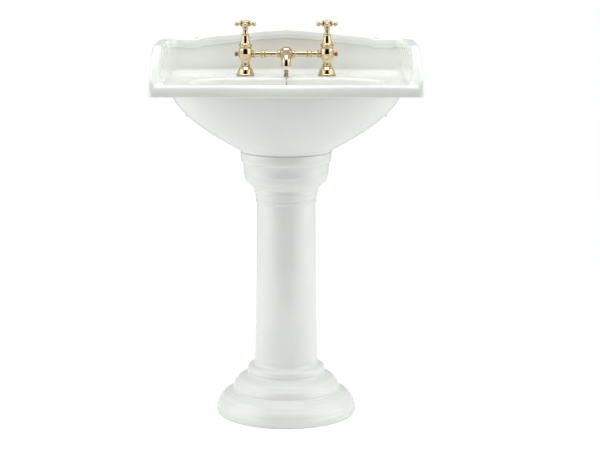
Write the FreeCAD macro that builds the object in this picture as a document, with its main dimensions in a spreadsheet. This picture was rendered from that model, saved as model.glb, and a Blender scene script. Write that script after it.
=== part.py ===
import FreeCAD, Part
import math
import os

import Sketcher
from FreeCAD import Placement, Rotation, Vector

# A traditional pedestal sink: a china basin with a raised three-sided gallery on a turned
# china pedestal, with a two-handle bridge tap, a plug on a ball chain and a bottle trap.
# Frame: millimetres, floor at z = 0, front towards -Y, wall plane at y = +basin_depth / 2.

SIZES = [
    # Overall
    ("basin_width", 635, "width over the rim"),
    ("basin_depth", 500, "front edge of the rim to the wall"),
    ("rim_bottom", 820, "underside of the rim above the floor"),
    ("rim_flare", 5, "height of the sharp lower edge of the rim"),
    ("rim_rise", 30, "height of the rim moulding"),
    ("rim_inset", 6, "upper rim stands in from the lower edge by this"),
    ("rim_land", 22, "width of the top of the rim"),
    ("deck_thick", 12, "china under the tap deck"),
    ("corner_round", 10, "outer corners of the rim"),
    ("tray_round", 14, "inner corners of the tray"),
    # Gallery
    ("back_thick", 45, "thickness of the splashback"),
    ("back_rise", 124, "top of the splashback's crown above the rim's underside"),
    ("back_shoulder_rise", 103.5, "where the crown's arc ends, above the rim's underside"),
    ("back_shoulder", 226, "half width of the crown's arc"),
    ("quirk_drop", 5, "small step down outside the crown"),
    ("quirk_width", 10, "width of that step"),
    ("wing_thick", 22, "thickness of a side wing"),
    ("wing_rise", 104, "top of the wings above the rim's underside"),
    ("wing_start", 16, "wing's front foot behind the rim's front edge"),
    ("wing_curve", 116, "length over which the wing's front end rises"),
    ("wing_bulge", 110, "radius of the wing's front curve"),
    ("wing_setback", 3, "outer face of a wing inside the rim's lower edge"),
    ("back_hollow", 21, "width of the hollow inside the splashback"),
    ("back_hollow_rise", 86, "top of that hollow above the rim's underside"),
    ("china_wall", 12, "usual thickness of the cast china"),
    # Bowl
    ("bowl_width", 476, "width of the bowl's mouth"),
    ("bowl_length", 293, "front to back of the bowl's mouth"),
    ("bowl_front", 45, "bowl's front lip behind the rim's front edge"),
    ("bowl_depth", 142, "deck down to the waste recess"),
    ("bowl_shell", 10, "thickness of the bowl itself"),
    ("waste_y", 20, "waste hole and pedestal axis, behind the basin's middle"),
    ("waste_recess_radius", 34, "flat recess for the waste flange"),
    ("waste_hole_gap", 2.05, "air round the waste in the china's hole"),
    ("waste_boss_radius", 40, "thickened china round the waste"),
    ("waste_boss_depth", 26, "thickness of the china at the waste"),
    ("overflow_width", 51, "width of the overflow slot"),
    ("overflow_height", 9, "height of the overflow slot"),
    ("overflow_drop", 18, "top of the slot below the deck"),
    ("duct_width", 48, "outside width of the overflow duct"),
    ("duct_bore", 12, "inside of the overflow duct"),
    # Underside
    ("skirt_width", 564, "width of the bowl's outer skirt below the rim"),
    ("skirt_length", 384, "front to back of the skirt below the rim"),
    ("skirt_front", 32, "skirt's front behind the rim's front edge"),
    ("skirt_wall", 11, "thickness of the skirt"),
    ("seat_radius", 112, "seat of the basin on the pedestal"),
    ("apron_width", 500, "width of the apron against the wall"),
    ("apron_drop", 86, "height of the apron below the rim's underside"),
    ("apron_thick", 15, "thickness of the apron"),
    ("service_front", 100, "front of the open space behind the bowl"),
    ("wall_bolt_spacing", 280, "between the two wall bolt holes"),
    ("wall_bolt_radius", 6.5, "wall bolt hole"),
    ("wall_bolt_drop", 45, "wall bolt holes below the rim's underside"),
    # Pedestal
    ("pedestal_height", 658, "top of the pedestal"),
    ("gasket_thick", 2, "bedding between basin and pedestal"),
    ("gasket_inset", 3, "bedding stands in from the face by this"),
    ("gasket_width", 9, "width of the bedding ring"),
    ("column_radius", 72, "narrowest part of the column"),
    ("column_foot_radius", 78.4, "column just above its base mouldings"),
    ("pedestal_wall", 13, "thickness of the pedestal's china"),
    ("foot_radius", 173, "widest part of the foot"),
    ("foot_land", 170, "where the foot meets the floor"),
    ("foot_flange", 34, "width of the turned-in flange on the floor"),
    ("foot_flange_thick", 14, "its thickness"),
    ("back_opening", 92, "width of the open back of the pedestal"),
    ("floor_screw_radius", 4, "floor screw hole"),
    ("floor_screw_circle", 150, "radius of the circle of the floor screw holes"),
    ("floor_screw_spacing", 160, "between the two floor screw holes"),
    # Tap
    ("tap_spacing", 204, "between the two tap holes"),
    ("tap_y", 145, "tap holes behind the basin's middle"),
    ("tap_hole_gap", 4.15, "air round the tail in the china's hole"),
    ("tail_radius", 10.35, "half-inch parallel thread of the tail"),
    ("tail_length", 60, "tail below the deck's surface"),
    ("waterway_radius", 6, "bore up through the tap body"),
    ("chamber_radius", 10.5, "valve chamber"),
    ("flange_radius", 23, "foot of the bell flange"),
    ("flange_rise", 22, "top of the bell flange above the deck"),
    ("deck_seal", 1, "sealing ring between flange and china"),
    ("body_top", 75, "top of the tap body above the deck"),
    ("body_belly", 16.9, "widest part of the tap body"),
    ("collar_radius", 17.4, "collar at the top of the tap body"),
    ("seat_rise", 47, "valve seat above the deck"),
    ("bridge_rise", 53, "bridge axis above the deck"),
    ("bonnet_rise", 26.5, "height of the bell bonnet"),
    ("stem_radius", 6.8, "gland nut"),
    ("handle_rise", 128, "axis of the handle's arms above the deck"),
    ("handle_span", 54, "over opposite arms of the cross handle"),
    ("arm_ball", 5.4, "radius of the ball on the end of an arm"),
    ("arm_bead", 5.8, "radius of the bead half way along an arm"),
    ("arm_bead_at", 11, "middle of the bead from the handle's axis"),
    ("arm_neck", 2.6, "radius of the arm between bead and ball"),
    ("arm_root", 5, "radius of the arm where it leaves the hub"),
    ("spindle_radius", 3.5, "spindle"),
    ("turning_gap", 0.06, "radial running clearance of spindle and jumper"),
    ("thread_gap", 0.06, "radial clearance of the threads"),
    ("valve_lift", 3, "lift of the jumper when fully open"),
    ("washer_radius", 8.5, "tap washer"),
    ("washer_thick", 4.5, "tap washer"),
    ("tail_nut_radius", 15.5, "back nut under the deck"),
    ("tail_nut_thick", 8, "back nut under the deck"),
    ("tail_seal_thick", 3, "rubber washer under the deck"),
    # Bridge and spout
    ("bridge_radius", 7.5, "bridge tube"),
    ("bridge_bore", 4, "waterway in the bridge"),
    ("union_radius", 9.5, "rim of the bridge union"),
    ("ball_radius", 19.2, "ball in the middle of the bridge"),
    ("spout_reach", 107, "outlet in front of the tap holes"),
    ("spout_radius", 11, "spout tube"),
    ("spout_bore", 7, "waterway in the spout"),
    ("spout_drop", 23, "outlet below the bridge axis"),
    ("spout_bend", 15, "radius of the spout's bend"),
    ("spout_slope_drop", 7.5, "how far the spout falls before its bend"),
    ("nozzle_radius", 13, "mouth of the spout"),
    # Waste, plug and trap
    ("waste_flange_radius", 32, "waste flange"),
    ("waste_tail_radius", 20.95, "one-and-a-quarter-inch parallel thread"),
    ("waste_bore", 17.2, "bore of the waste"),
    ("waste_length", 72, "waste below the bowl's floor"),
    ("waste_seal", 1.5, "seal under the flange"),
    ("waste_nut_radius", 30, "waste back nut"),
    ("plug_radius", 20.4, "top of the rubber plug"),
    ("plug_gap", 0.3, "air gap round the seated plug"),
    ("chain_diameter", 3.2, "ball chain"),
    ("stay_forward", 21, "chain stay in front of the tap holes"),
    ("trap_radius", 33, "bottle trap"),
    ("trap_wall", 3, "wall of the bottle trap"),
    ("trap_length", 120, "bottle trap, from its shoulder to its foot"),
    ("outlet_drop", 65, "outlet axis below the waste's end"),
    ("outlet_radius", 18, "outlet pipe"),
    ("outlet_wall", 2, "wall of the outlet pipe"),
    ("outlet_spigot_step", 0.8, "the pipe's end inside the nut is smaller in radius by this"),
    ("outlet_clear", 2, "the full-size pipe starts this far outside the nut"),
    ("contact_gap", 0.05, "air gap between faces that meet and part"),
]

doc = FreeCAD.newDocument("pedestal_sink")
sheet = doc.addObject("Spreadsheet::Sheet", "Sizes")
for row, (alias, amount, note) in enumerate(SIZES, start=1):
    sheet.set(f"A{row}", note)
    sheet.set(f"B{row}", str(amount))
    sheet.setAlias(f"B{row}", alias)
doc.recompute()

NO_TURN = Rotation()
ABOUT_X = Vector(1, 0, 0)
ABOUT_Y = Vector(0, 1, 0)
ABOUT_Z = Vector(0, 0, 1)
PAST = 1.0  # a cutting tool runs this far past the face that it cuts through
TOUCH = 0.01  # two places this near are the same
PARTS = {}


class Size:
    """A length together with the sheet expression that gives it."""

    def __init__(self, text, value):
        self.text = text
        self.value = value

    def __add__(self, other):
        other = sized(other)
        return Size(f"({self.text} + {other.text})", self.value + other.value)

    def __sub__(self, other):
        other = sized(other)
        return Size(f"({self.text} - {other.text})", self.value - other.value)

    def __mul__(self, other):
        other = sized(other)
        return Size(f"({self.text} * {other.text})", self.value * other.value)

    def __truediv__(self, other):
        other = sized(other)
        return Size(f"({self.text} / {other.text})", self.value / other.value)

    def __neg__(self):
        return Size(f"(-1 * {self.text})", -self.value)

    def __radd__(self, other):
        return sized(other) + self

    def __rsub__(self, other):
        return sized(other) - self

    def __rmul__(self, other):
        return sized(other) * self


def sized(number):
    if isinstance(number, Size):
        return number
    return Size(f"{number:.6g}", float(number))


def root(size):
    return Size(f"sqrt({size.text})", math.sqrt(size.value))


def dome(base, rise):
    """The radius of a domed end, with its centre on the axis, for an outline that climbs to it."""
    base, rise = sized(base), sized(rise)
    return -(base * base + rise * rise) / (rise * 2)


class Names:
    """Every row of the sheet as a Size, by its alias."""


n = Names()
for alias, amount, note in SIZES:
    setattr(n, alias, Size(f"Sizes.{alias}", float(amount)))

# Levels and places that several pieces share.
DECK = n.rim_bottom + n.deck_thick
RIM_TOP = n.rim_bottom + n.rim_rise
HALF_DEPTH = n.basin_depth / 2
HALF_WIDTH = n.basin_width / 2
BOWL_FLOOR = DECK - n.bowl_depth
SEAT = n.pedestal_height + n.gasket_thick
BOSS_BOTTOM = BOWL_FLOOR - n.waste_boss_depth
BRIDGE_Z = DECK + n.bridge_rise
STAY_Y = n.tap_y - n.stay_forward
TAP_HOLE = n.tail_radius + n.tap_hole_gap
WASTE_HOLE = n.waste_tail_radius + n.waste_hole_gap


def bind(item, prop, size):
    """Ties a property to the sheet."""
    item.setExpression(prop, sized(size).text)


def put(item, x=0, y=0, z=0, turn=NO_TURN):
    """Places an object, with each coordinate tied to the sheet."""
    spot = [sized(x), sized(y), sized(z)]
    item.Placement = Placement(Vector(*[c.value for c in spot]), turn)
    for axis, c in zip("xyz", spot):
        item.setExpression(f".Placement.Base.{axis}", c.text)
    return item


def keep(item, label):
    """Names an object as a finished sub-part."""
    item.Label = label
    PARTS[label] = item
    return item


def new_body(name):
    return doc.addObject("PartDesign::Body", name)


def plane_of(body, role):
    return next(f for f in body.Origin.OriginFeatures if f.Role == role)


def arc_between(a, b, radius):
    """The arc from a to b that bulges to the left of its direction for a positive radius."""
    chord = b - a
    half = chord.Length / 2
    left = Vector(-chord.y, chord.x, 0).normalize()
    depth = math.sqrt(max(radius * radius - half * half, 0))
    centre = (a + b) * 0.5 - left * math.copysign(depth, radius)
    start = math.atan2(a.y - centre.y, a.x - centre.x)
    end = math.atan2(b.y - centre.y, b.x - centre.x)
    circle = Part.Circle(centre, ABOUT_Z, abs(radius))
    if radius > 0:
        start, end = end, start
    return Part.ArcOfCircle(circle, start, end)


def fix_point(sketch, index, end, x, y):
    """Holds one end of a sketch line at a place that the sheet gives."""
    for kind, size, axis in (("DistanceX", x, -2), ("DistanceY", y, -1)):
        if abs(size.value) < 1e-9:
            sketch.addConstraint(Sketcher.Constraint("PointOnObject", index, end, axis))
            continue
        rule = Sketcher.Constraint(kind, -1, 1, index, end, size.value)
        number = sketch.addConstraint(rule)
        sketch.setExpression(f"Constraints[{number}]", size.text)


def outline(body, role, name, corners, offset=None):
    """A closed sketch through corners (across, up) on one of the body's own planes.

    A third number is the radius of the arc that ends at that corner.
    """
    sketch = body.newObject("Sketcher::SketchObject", name)
    sketch.AttachmentSupport = [(plane_of(body, role), "")]
    sketch.MapMode = "FlatFace"
    if offset is not None:
        bind(sketch, "AttachmentOffset.Base.z", offset)
        sketch.AttachmentOffset = Placement(Vector(0, 0, sized(offset).value), NO_TURN)
    places = [(sized(c[0]), sized(c[1])) for c in corners]
    points = [Vector(x.value, y.value, 0) for x, y in places]
    ends = []
    for i, corner in enumerate(corners):
        a = points[i - 1]
        b = points[i]
        if len(corner) == 2:
            index = sketch.addGeometry(Part.LineSegment(a, b))
            ends.append((index, 1, 2))
            continue
        radius = sized(corner[2])
        index = sketch.addGeometry(arc_between(a, b, radius.value))
        ends.append((index, 2, 1) if radius.value > 0 else (index, 1, 2))
    for i, (index, start, finish) in enumerate(ends):
        following = ends[(i + 1) % len(ends)]
        joint = Sketcher.Constraint("Coincident", index, finish, following[0], following[1])
        sketch.addConstraint(joint)
    for i, (index, start, finish) in enumerate(ends):
        fix_point(sketch, index, finish, *places[i])
        if len(corners[i]) == 3:
            radius = sized(corners[i][2])
            size = radius if radius.value > 0 else -radius
            number = sketch.addConstraint(Sketcher.Constraint("Radius", index, size.value))
            sketch.setExpression(f"Constraints[{number}]", size.text)
    return sketch


def circle_on(body, role, name, radius, x=0, y=0, offset=None):
    """A sketch of one circle on one of the body's own planes."""
    sketch = body.newObject("Sketcher::SketchObject", name)
    sketch.AttachmentSupport = [(plane_of(body, role), "")]
    sketch.MapMode = "FlatFace"
    if offset is not None:
        sketch.AttachmentOffset = Placement(Vector(0, 0, sized(offset).value), NO_TURN)
        bind(sketch, "AttachmentOffset.Base.z", offset)
    x, y, radius = sized(x), sized(y), sized(radius)
    ring = Part.Circle(Vector(x.value, y.value, 0), ABOUT_Z, radius.value)
    index = sketch.addGeometry(ring)
    fix_point(sketch, index, 3, x, y)
    number = sketch.addConstraint(Sketcher.Constraint("Radius", index, radius.value))
    sketch.setExpression(f"Constraints[{number}]", radius.text)
    return sketch


def rectangle(x0, y0, x1, y1):
    return [(x0, y0), (x1, y0), (x1, y1), (x0, y1)]


def turned(name, corners, about="V_Axis"):
    """A body turned from an outline (radius, height) about its own Z axis."""
    body = new_body(name)
    sketch = outline(body, "XZ_Plane", f"{name}_outline", corners)
    turn = body.newObject("PartDesign::Revolution", f"{name}_turn")
    turn.Profile = sketch
    turn.ReferenceAxis = (sketch, [about])
    turn.Angle = 360
    return body


def ring(name, inner, outer, bottom, top):
    """A plain turned ring."""
    return turned(name, [(inner, bottom), (outer, bottom), (outer, top), (inner, top)])


def pad(body, sketch, name, length, reverse=False, both=False):
    item = body.newObject("PartDesign::Pad", name)
    item.Profile = sketch
    item.Length = sized(length).value
    bind(item, "Length", length)
    item.Reversed = reverse
    item.Midplane = both
    return item


def pocket(body, sketch, name, length, reverse=False, both=False):
    item = body.newObject("PartDesign::Pocket", name)
    item.Profile = sketch
    item.Length = sized(length).value
    bind(item, "Length", length)
    item.Reversed = reverse
    item.Midplane = both
    return item


def rounded(body, base, name, radius, wanted):
    """Rounds every edge of the base for which wanted(edge) is true."""
    doc.recompute()
    edges = [f"Edge{i + 1}" for i, e in enumerate(base.Shape.Edges) if wanted(e)]
    item = body.newObject("PartDesign::Fillet", name)
    item.Base = (base, edges)
    item.Radius = sized(radius).value
    bind(item, "Radius", radius)
    return item


def box(name, x0, y0, z0, x1, y1, z1):
    """A Part box between two corners."""
    item = doc.addObject("Part::Box", name)
    low = [sized(c) for c in (x0, y0, z0)]
    high = [sized(c) for c in (x1, y1, z1)]
    for prop, a, b in zip(("Length", "Width", "Height"), low, high):
        bind(item, prop, b - a)
    return put(item, *low)


def rod(name, radius, length, x, y, z, turn=NO_TURN):
    """A Part cylinder that starts at a place and runs along its own Z."""
    item = doc.addObject("Part::Cylinder", name)
    bind(item, "Radius", radius)
    bind(item, "Height", length)
    return put(item, x, y, z, turn)


TO_PLUS_X = Rotation(ABOUT_Y, 90)
TO_MINUS_X = Rotation(ABOUT_Y, -90)
TO_PLUS_Y = Rotation(ABOUT_X, -90)


def fused(name, items):
    item = doc.addObject("Part::MultiFuse", name)
    item.Shapes = items
    item.Refine = True
    return item


def cut(name, base, tools):
    tool = tools[0] if len(tools) == 1 else fused(f"{name}_tools", tools)
    item = doc.addObject("Part::Cut", name)
    item.Base = base
    item.Tool = tool
    item.Refine = True
    return item


def oval(name, half_width, half_length, y, z):
    """A level ellipse, wider across X than along Y."""
    item = doc.addObject("Part::Ellipse", name)
    bind(item, "MajorRadius", half_width)
    bind(item, "MinorRadius", half_length)
    return put(item, 0, y, z)


def lofted(name, ovals):
    """A smooth solid through level ellipses (half width, half length, y, z)."""
    item = doc.addObject("Part::Loft", name)
    item.Sections = [oval(f"{name}_{i}", *o) for i, o in enumerate(ovals)]
    item.Solid = True
    item.Ruled = False
    return item


# ---------------------------------------------------------------- basin

SKIRT_Y = n.skirt_front + n.skirt_length / 2 - HALF_DEPTH
BOWL_Y = n.bowl_front + n.bowl_length / 2 - HALF_DEPTH
# How far down (0 deck, 1 seat or floor), share of the top's half width, of its half length,
# and of the way from the top's centre to the waste's axis.
SKIRT_STEPS = [(0.19, 0.965, 0.98, 0.04), (0.49, 0.816, 0.9, 0.2), (0.71, 0.645, 0.76, 0.45)]
SKIRT_LOW = (0.9, 0.482, 0.68, 0.8)
BOWL_STEPS = [(0.13, 0.992, 0.985, 0.02), (0.38, 0.933, 0.93, 0.09), (0.65, 0.798, 0.805, 0.3)]
BOWL_STEPS += [(0.85, 0.588, 0.615, 0.52), (0.95, 0.34, 0.41, 0.69)]


def eased(top, low, share):
    """A place part of the way from top to low."""
    return top + (low - top) * share


def skirt_ovals(inset):
    """The bowl's outer skirt, moved inwards by inset: an oval that draws in to the round seat."""
    half_width = n.skirt_width / 2
    half_length = n.skirt_length / 2
    top = n.rim_bottom + (0 if sized(inset).value else 2)
    ovals = [(half_width - inset, half_length - inset, SKIRT_Y, top)]
    for down, wide, long, back in SKIRT_STEPS + [SKIRT_LOW]:
        level = eased(n.rim_bottom, SEAT, down)
        y = eased(SKIRT_Y, n.waste_y, back)
        ovals.append((half_width * wide - inset, half_length * long - inset, y, level))
    ovals.append((n.seat_radius - inset, n.seat_radius - inset, n.waste_y, SEAT))
    return ovals[::-1]


def bowl_ovals(shell):
    """The bowl's inside, or its outside with the shell's thickness added."""
    half_width = n.bowl_width / 2
    half_length = n.bowl_length / 2
    top = DECK + PAST if sized(shell).value == 0 else DECK - PAST
    ovals = [(half_width + shell, half_length + shell, BOWL_Y, top)]
    for down, wide, long, back in BOWL_STEPS:
        level = eased(DECK, BOWL_FLOOR, down) - shell * down
        y = eased(BOWL_Y, n.waste_y, back)
        ovals.append((half_width * wide + shell, half_length * long + shell, y, level))
    recess = n.waste_recess_radius + shell
    ovals.append((recess, recess, n.waste_y, BOWL_FLOOR - shell))
    return ovals[::-1]


def basin_top():
    """Rim, deck and three-sided gallery as one cast block."""
    body = new_body("basin_top")
    base = outline(
        body, "XY_Plane", "rim_edge_outline",
        rectangle(-HALF_WIDTH, -HALF_DEPTH, HALF_WIDTH, HALF_DEPTH), n.rim_bottom,
    )
    pad(body, base, "rim_edge", n.rim_flare)
    side = HALF_WIDTH - n.rim_inset
    upper = outline(
        body, "XY_Plane", "rim_upper_outline",
        rectangle(-side, n.rim_inset - HALF_DEPTH, side, HALF_DEPTH), n.rim_bottom + n.rim_flare,
    )
    block = pad(body, upper, "rim_upper", n.rim_rise - n.rim_flare)
    block = rounded(body, block, "rim_corners", n.corner_round, is_front_corner)
    rounded(body, block, "rim_cove", n.rim_inset - PAST, is_cove)
    inner = HALF_WIDTH - n.wing_setback - n.wing_thick
    tray = outline(
        body, "XY_Plane", "tray_outline",
        rectangle(-inner, n.rim_land - HALF_DEPTH, inner, HALF_DEPTH - n.back_thick), DECK,
    )
    hollow = pocket(body, tray, "tray", n.rim_rise, reverse=True)
    rounded(body, hollow, "tray_corners", n.tray_round, is_tray_corner)
    return body


def is_cove(edge):
    """An edge along the foot of the upper rim, on its front or sides."""
    box_of = edge.BoundBox
    level = n.rim_bottom.value + n.rim_flare.value
    side = HALF_WIDTH.value - n.rim_inset.value + TOUCH
    front = n.rim_inset.value - HALF_DEPTH.value - TOUCH
    level_edge = abs(box_of.ZMin - level) < TOUCH and abs(box_of.ZMax - level) < TOUCH
    on_block = box_of.XMin > -side and box_of.XMax < side and box_of.YMin > front
    on_wall = box_of.YMin > HALF_DEPTH.value - TOUCH
    return level_edge and on_block and not on_wall


def is_upright(edge, low, high):
    box_of = edge.BoundBox
    thin = box_of.XLength < TOUCH and box_of.YLength < TOUCH
    return thin and box_of.ZMin > low - TOUCH and box_of.ZMax < high + TOUCH and box_of.ZLength > PAST


def is_front_corner(edge):
    return is_upright(edge, n.rim_bottom.value, RIM_TOP.value) and edge.BoundBox.YMin < 0


def is_tray_corner(edge):
    inside = abs(edge.BoundBox.XMin) < HALF_WIDTH.value - n.wing_thick.value
    return is_upright(edge, DECK.value, RIM_TOP.value) and inside


def splashback():
    """The back wall with its shallow crown between two small steps."""
    body = new_body("splashback")
    end = HALF_WIDTH - n.wing_setback
    crown = n.rim_bottom + n.back_rise
    shoulder = n.rim_bottom + n.back_shoulder_rise
    step_x = n.back_shoulder + n.quirk_width
    half = n.back_shoulder.value
    sag = crown.value - shoulder.value
    arc = (n.back_shoulder * n.back_shoulder + (crown - shoulder) * (crown - shoulder)) / (
        (crown - shoulder) * 2
    )
    foot = RIM_TOP - PAST
    corners = [
        (-end, foot),
        (end, foot),
        (end, shoulder - n.quirk_drop),
        (step_x, shoulder - n.quirk_drop),
        (n.back_shoulder, shoulder),
        (-n.back_shoulder, shoulder, -arc),
        (-step_x, shoulder - n.quirk_drop),
        (-end, shoulder - n.quirk_drop),
    ]
    sketch = outline(body, "XZ_Plane", "splashback_outline", corners)
    pad(body, sketch, "splashback_pad", n.back_thick)
    return put(body, 0, HALF_DEPTH, 0)


def wing(side):
    """One side wing, which rises from the rim in a quarter curve."""
    name = "left_wing" if side < 0 else "right_wing"
    body = new_body(name)
    start = n.wing_start - HALF_DEPTH
    top = n.rim_bottom + n.wing_rise
    foot = RIM_TOP - PAST
    corners = [
        (HALF_DEPTH, foot),
        (HALF_DEPTH, top),
        (start + n.wing_curve, top),
        (start, foot, -n.wing_bulge),
    ]
    sketch = outline(body, "YZ_Plane", f"{name}_outline", corners)
    pad(body, sketch, f"{name}_pad", n.wing_thick)
    outer = HALF_WIDTH - n.wing_setback
    return put(body, outer - n.wing_thick if side > 0 else -outer, 0, 0)


def basin():
    """The china basin: rim and gallery, double-walled bowl, wall apron, duct and all holes."""
    half_apron = n.apron_width / 2
    outer = fused("basin_outer", [
        basin_top(), splashback(), wing(-1), wing(1),
        lofted("skirt", skirt_ovals(0)),
        box("apron", -half_apron, n.service_front, n.rim_bottom - n.apron_drop,
            half_apron, HALF_DEPTH, n.rim_bottom + PAST),
    ])
    cheek = half_apron - n.china_wall
    mid_back = HALF_DEPTH - n.back_thick / 2
    hollow_half = HALF_WIDTH - n.wing_thick - n.china_wall
    shelled = cut("basin_shelled", outer, [
        lofted("skirt_inside", skirt_ovals(n.skirt_wall)),
        rod("seat_opening", n.seat_radius - n.skirt_wall, n.gasket_thick * 2, 0, n.waste_y, SEAT - PAST),
        box("service_space", -cheek, n.service_front, SEAT - n.gasket_thick,
            cheek, HALF_DEPTH - n.apron_thick, n.rim_bottom),
        box("splashback_hollow", -hollow_half, mid_back - n.back_hollow / 2, n.rim_bottom - PAST,
            hollow_half, mid_back + n.back_hollow / 2, n.rim_bottom + n.back_hollow_rise),
    ])
    duct_half = n.duct_width / 2
    duct_back = n.service_front + n.duct_bore + PAST
    fittings = fused("bowl_fittings", [
        rod("waste_boss", n.waste_boss_radius, n.waste_boss_depth, 0, n.waste_y, BOSS_BOTTOM),
        box("overflow_duct", -duct_half, n.waste_y, BOSS_BOTTOM,
            duct_half, duct_back, n.rim_bottom + PAST),
    ])
    bowl_block = fused("bowl_block", [lofted("bowl_outside", bowl_ovals(n.bowl_shell)), fittings])
    bowl_inside = lofted("bowl_inside", bowl_ovals(0))
    open_bowl = fused("basin_open", [
        cut("casing_open", shelled, [bowl_inside]),
        cut("bowl_open", bowl_block, [bowl_inside]),
    ])
    bore = n.duct_bore / 2
    duct_y = n.service_front - bore + PAST
    slot_top = DECK - n.overflow_drop
    bowl_back = BOWL_Y + n.bowl_length / 2
    duct_z = BOSS_BOTTOM + n.waste_boss_depth / 2
    tools = [
        rod("waste_hole", WASTE_HOLE, n.waste_boss_depth + PAST * 2, 0, n.waste_y, BOSS_BOTTOM - PAST),
        box("overflow_slot", -n.overflow_width / 2, bowl_back - n.bowl_shell * 2, slot_top - n.overflow_height,
            n.overflow_width / 2, duct_y, slot_top),
        rod("duct_drop", bore, slot_top - duct_z, 0, duct_y, duct_z),
        rod("duct_run", bore, duct_y - n.waste_y, 0, n.waste_y, duct_z, TO_PLUS_Y),
        rod("stay_hole", n.chain_diameter + PAST, n.deck_thick * 3, 0, STAY_Y, n.rim_bottom - n.deck_thick),
    ]
    for side in (-1, 1):
        tag = "left" if side < 0 else "right"
        tools.append(rod(f"{tag}_tap_hole", TAP_HOLE, n.deck_thick + PAST * 2,
                         n.tap_spacing / 2 * side, n.tap_y, n.rim_bottom - PAST))
        tools.append(rod(f"{tag}_wall_bolt_hole", n.wall_bolt_radius, n.apron_thick + PAST * 2,
                         n.wall_bolt_spacing / 2 * side, HALF_DEPTH - n.apron_thick - PAST,
                         n.rim_bottom - n.wall_bolt_drop, TO_PLUS_Y))
    keep(cut("basin_solid", open_bowl, tools), "basin")


# ---------------------------------------------------------------- pedestal

def pedestal():
    """The turned pedestal: moulded cap, slender column and three-stepped foot, open at the back."""
    top = n.pedestal_height
    cap = n.seat_radius
    neck = n.column_radius
    column = n.column_foot_radius
    foot = n.foot_radius
    land = n.foot_land
    wall = n.pedestal_wall
    flange = n.foot_flange_thick
    body = new_body("pedestal_body")
    corners = [
        (cap, top),
        (cap - 1, top - 28),
        (cap - 5.5, top - 30),
        (cap - 8, top - 50),
        (cap - 22.5, top - 80, 42),
        (neck + 5, top - 100, -34),
        (neck + 3, top - 116),
        (neck, top - 134, -40),
        (column, 128),
        (column, 121),
        (column + 19, 97, 24),
        (column + 28, 91),
        (foot - 38.5, 58, 70),
        (foot - 24, 48),
        (foot, 10, 60),
        (land, 0),
        (land - n.foot_flange, 0),
        (land - n.foot_flange, flange),
        (land - wall - 6, flange),
        (foot - 42, 44),
        (column + 16, 84),
        (column - wall, 112),
        (neck - wall, top - 134),
        (cap - 26, top - 62),
        (cap - wall, top - 34),
        (cap - wall, top),
    ]
    sketch = outline(body, "XZ_Plane", "pedestal_outline", corners)
    turn = body.newObject("PartDesign::Revolution", "pedestal_turn")
    turn.Profile = sketch
    turn.ReferenceAxis = (sketch, ["V_Axis"])
    turn.Angle = 360
    half = n.back_opening / 2
    slot = outline(body, "XY_Plane", "back_opening_outline",
                   rectangle(-half, n.column_radius / 2, half, foot + PAST * 4), -PAST)
    pocket(body, slot, "back_opening", top + PAST * 2, reverse=True)
    half_spacing = n.floor_screw_spacing / 2
    # The screw holes lie on the flange's circle, towards the back.
    behind = math.sqrt(n.floor_screw_circle.value ** 2 - half_spacing.value ** 2)
    share = behind / n.floor_screw_circle.value
    for side in (-1, 1):
        hole = circle_on(body, "XY_Plane", f"floor_screw_{side + 2}", n.floor_screw_radius,
                         half_spacing * side, n.floor_screw_circle * round(share, 4), -PAST)
        pocket(body, hole, f"floor_screw_hole_{side + 2}", flange + PAST * 2, reverse=True)
    keep(put(body, 0, n.waste_y, 0), "pedestal")


def seat_gasket():
    outer = n.seat_radius - n.gasket_inset
    inner = outer - n.gasket_width
    body = put(ring("seat_gasket_ring", inner, outer, n.pedestal_height, SEAT), 0, n.waste_y, 0)
    half = n.back_opening / 2
    gap = box("seat_gasket_gap", -half, n.service_front - n.skirt_wall, n.pedestal_height - PAST,
              half, HALF_DEPTH, SEAT + PAST)
    wide = box("seat_gasket_end", -n.seat_radius, n.service_front - PAST, n.pedestal_height - PAST,
               n.seat_radius, HALF_DEPTH, SEAT + PAST)
    keep(cut("seat_gasket_cut", body, [gap, wide]), "seat_gasket")


# ---------------------------------------------------------------- tap pillars

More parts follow.
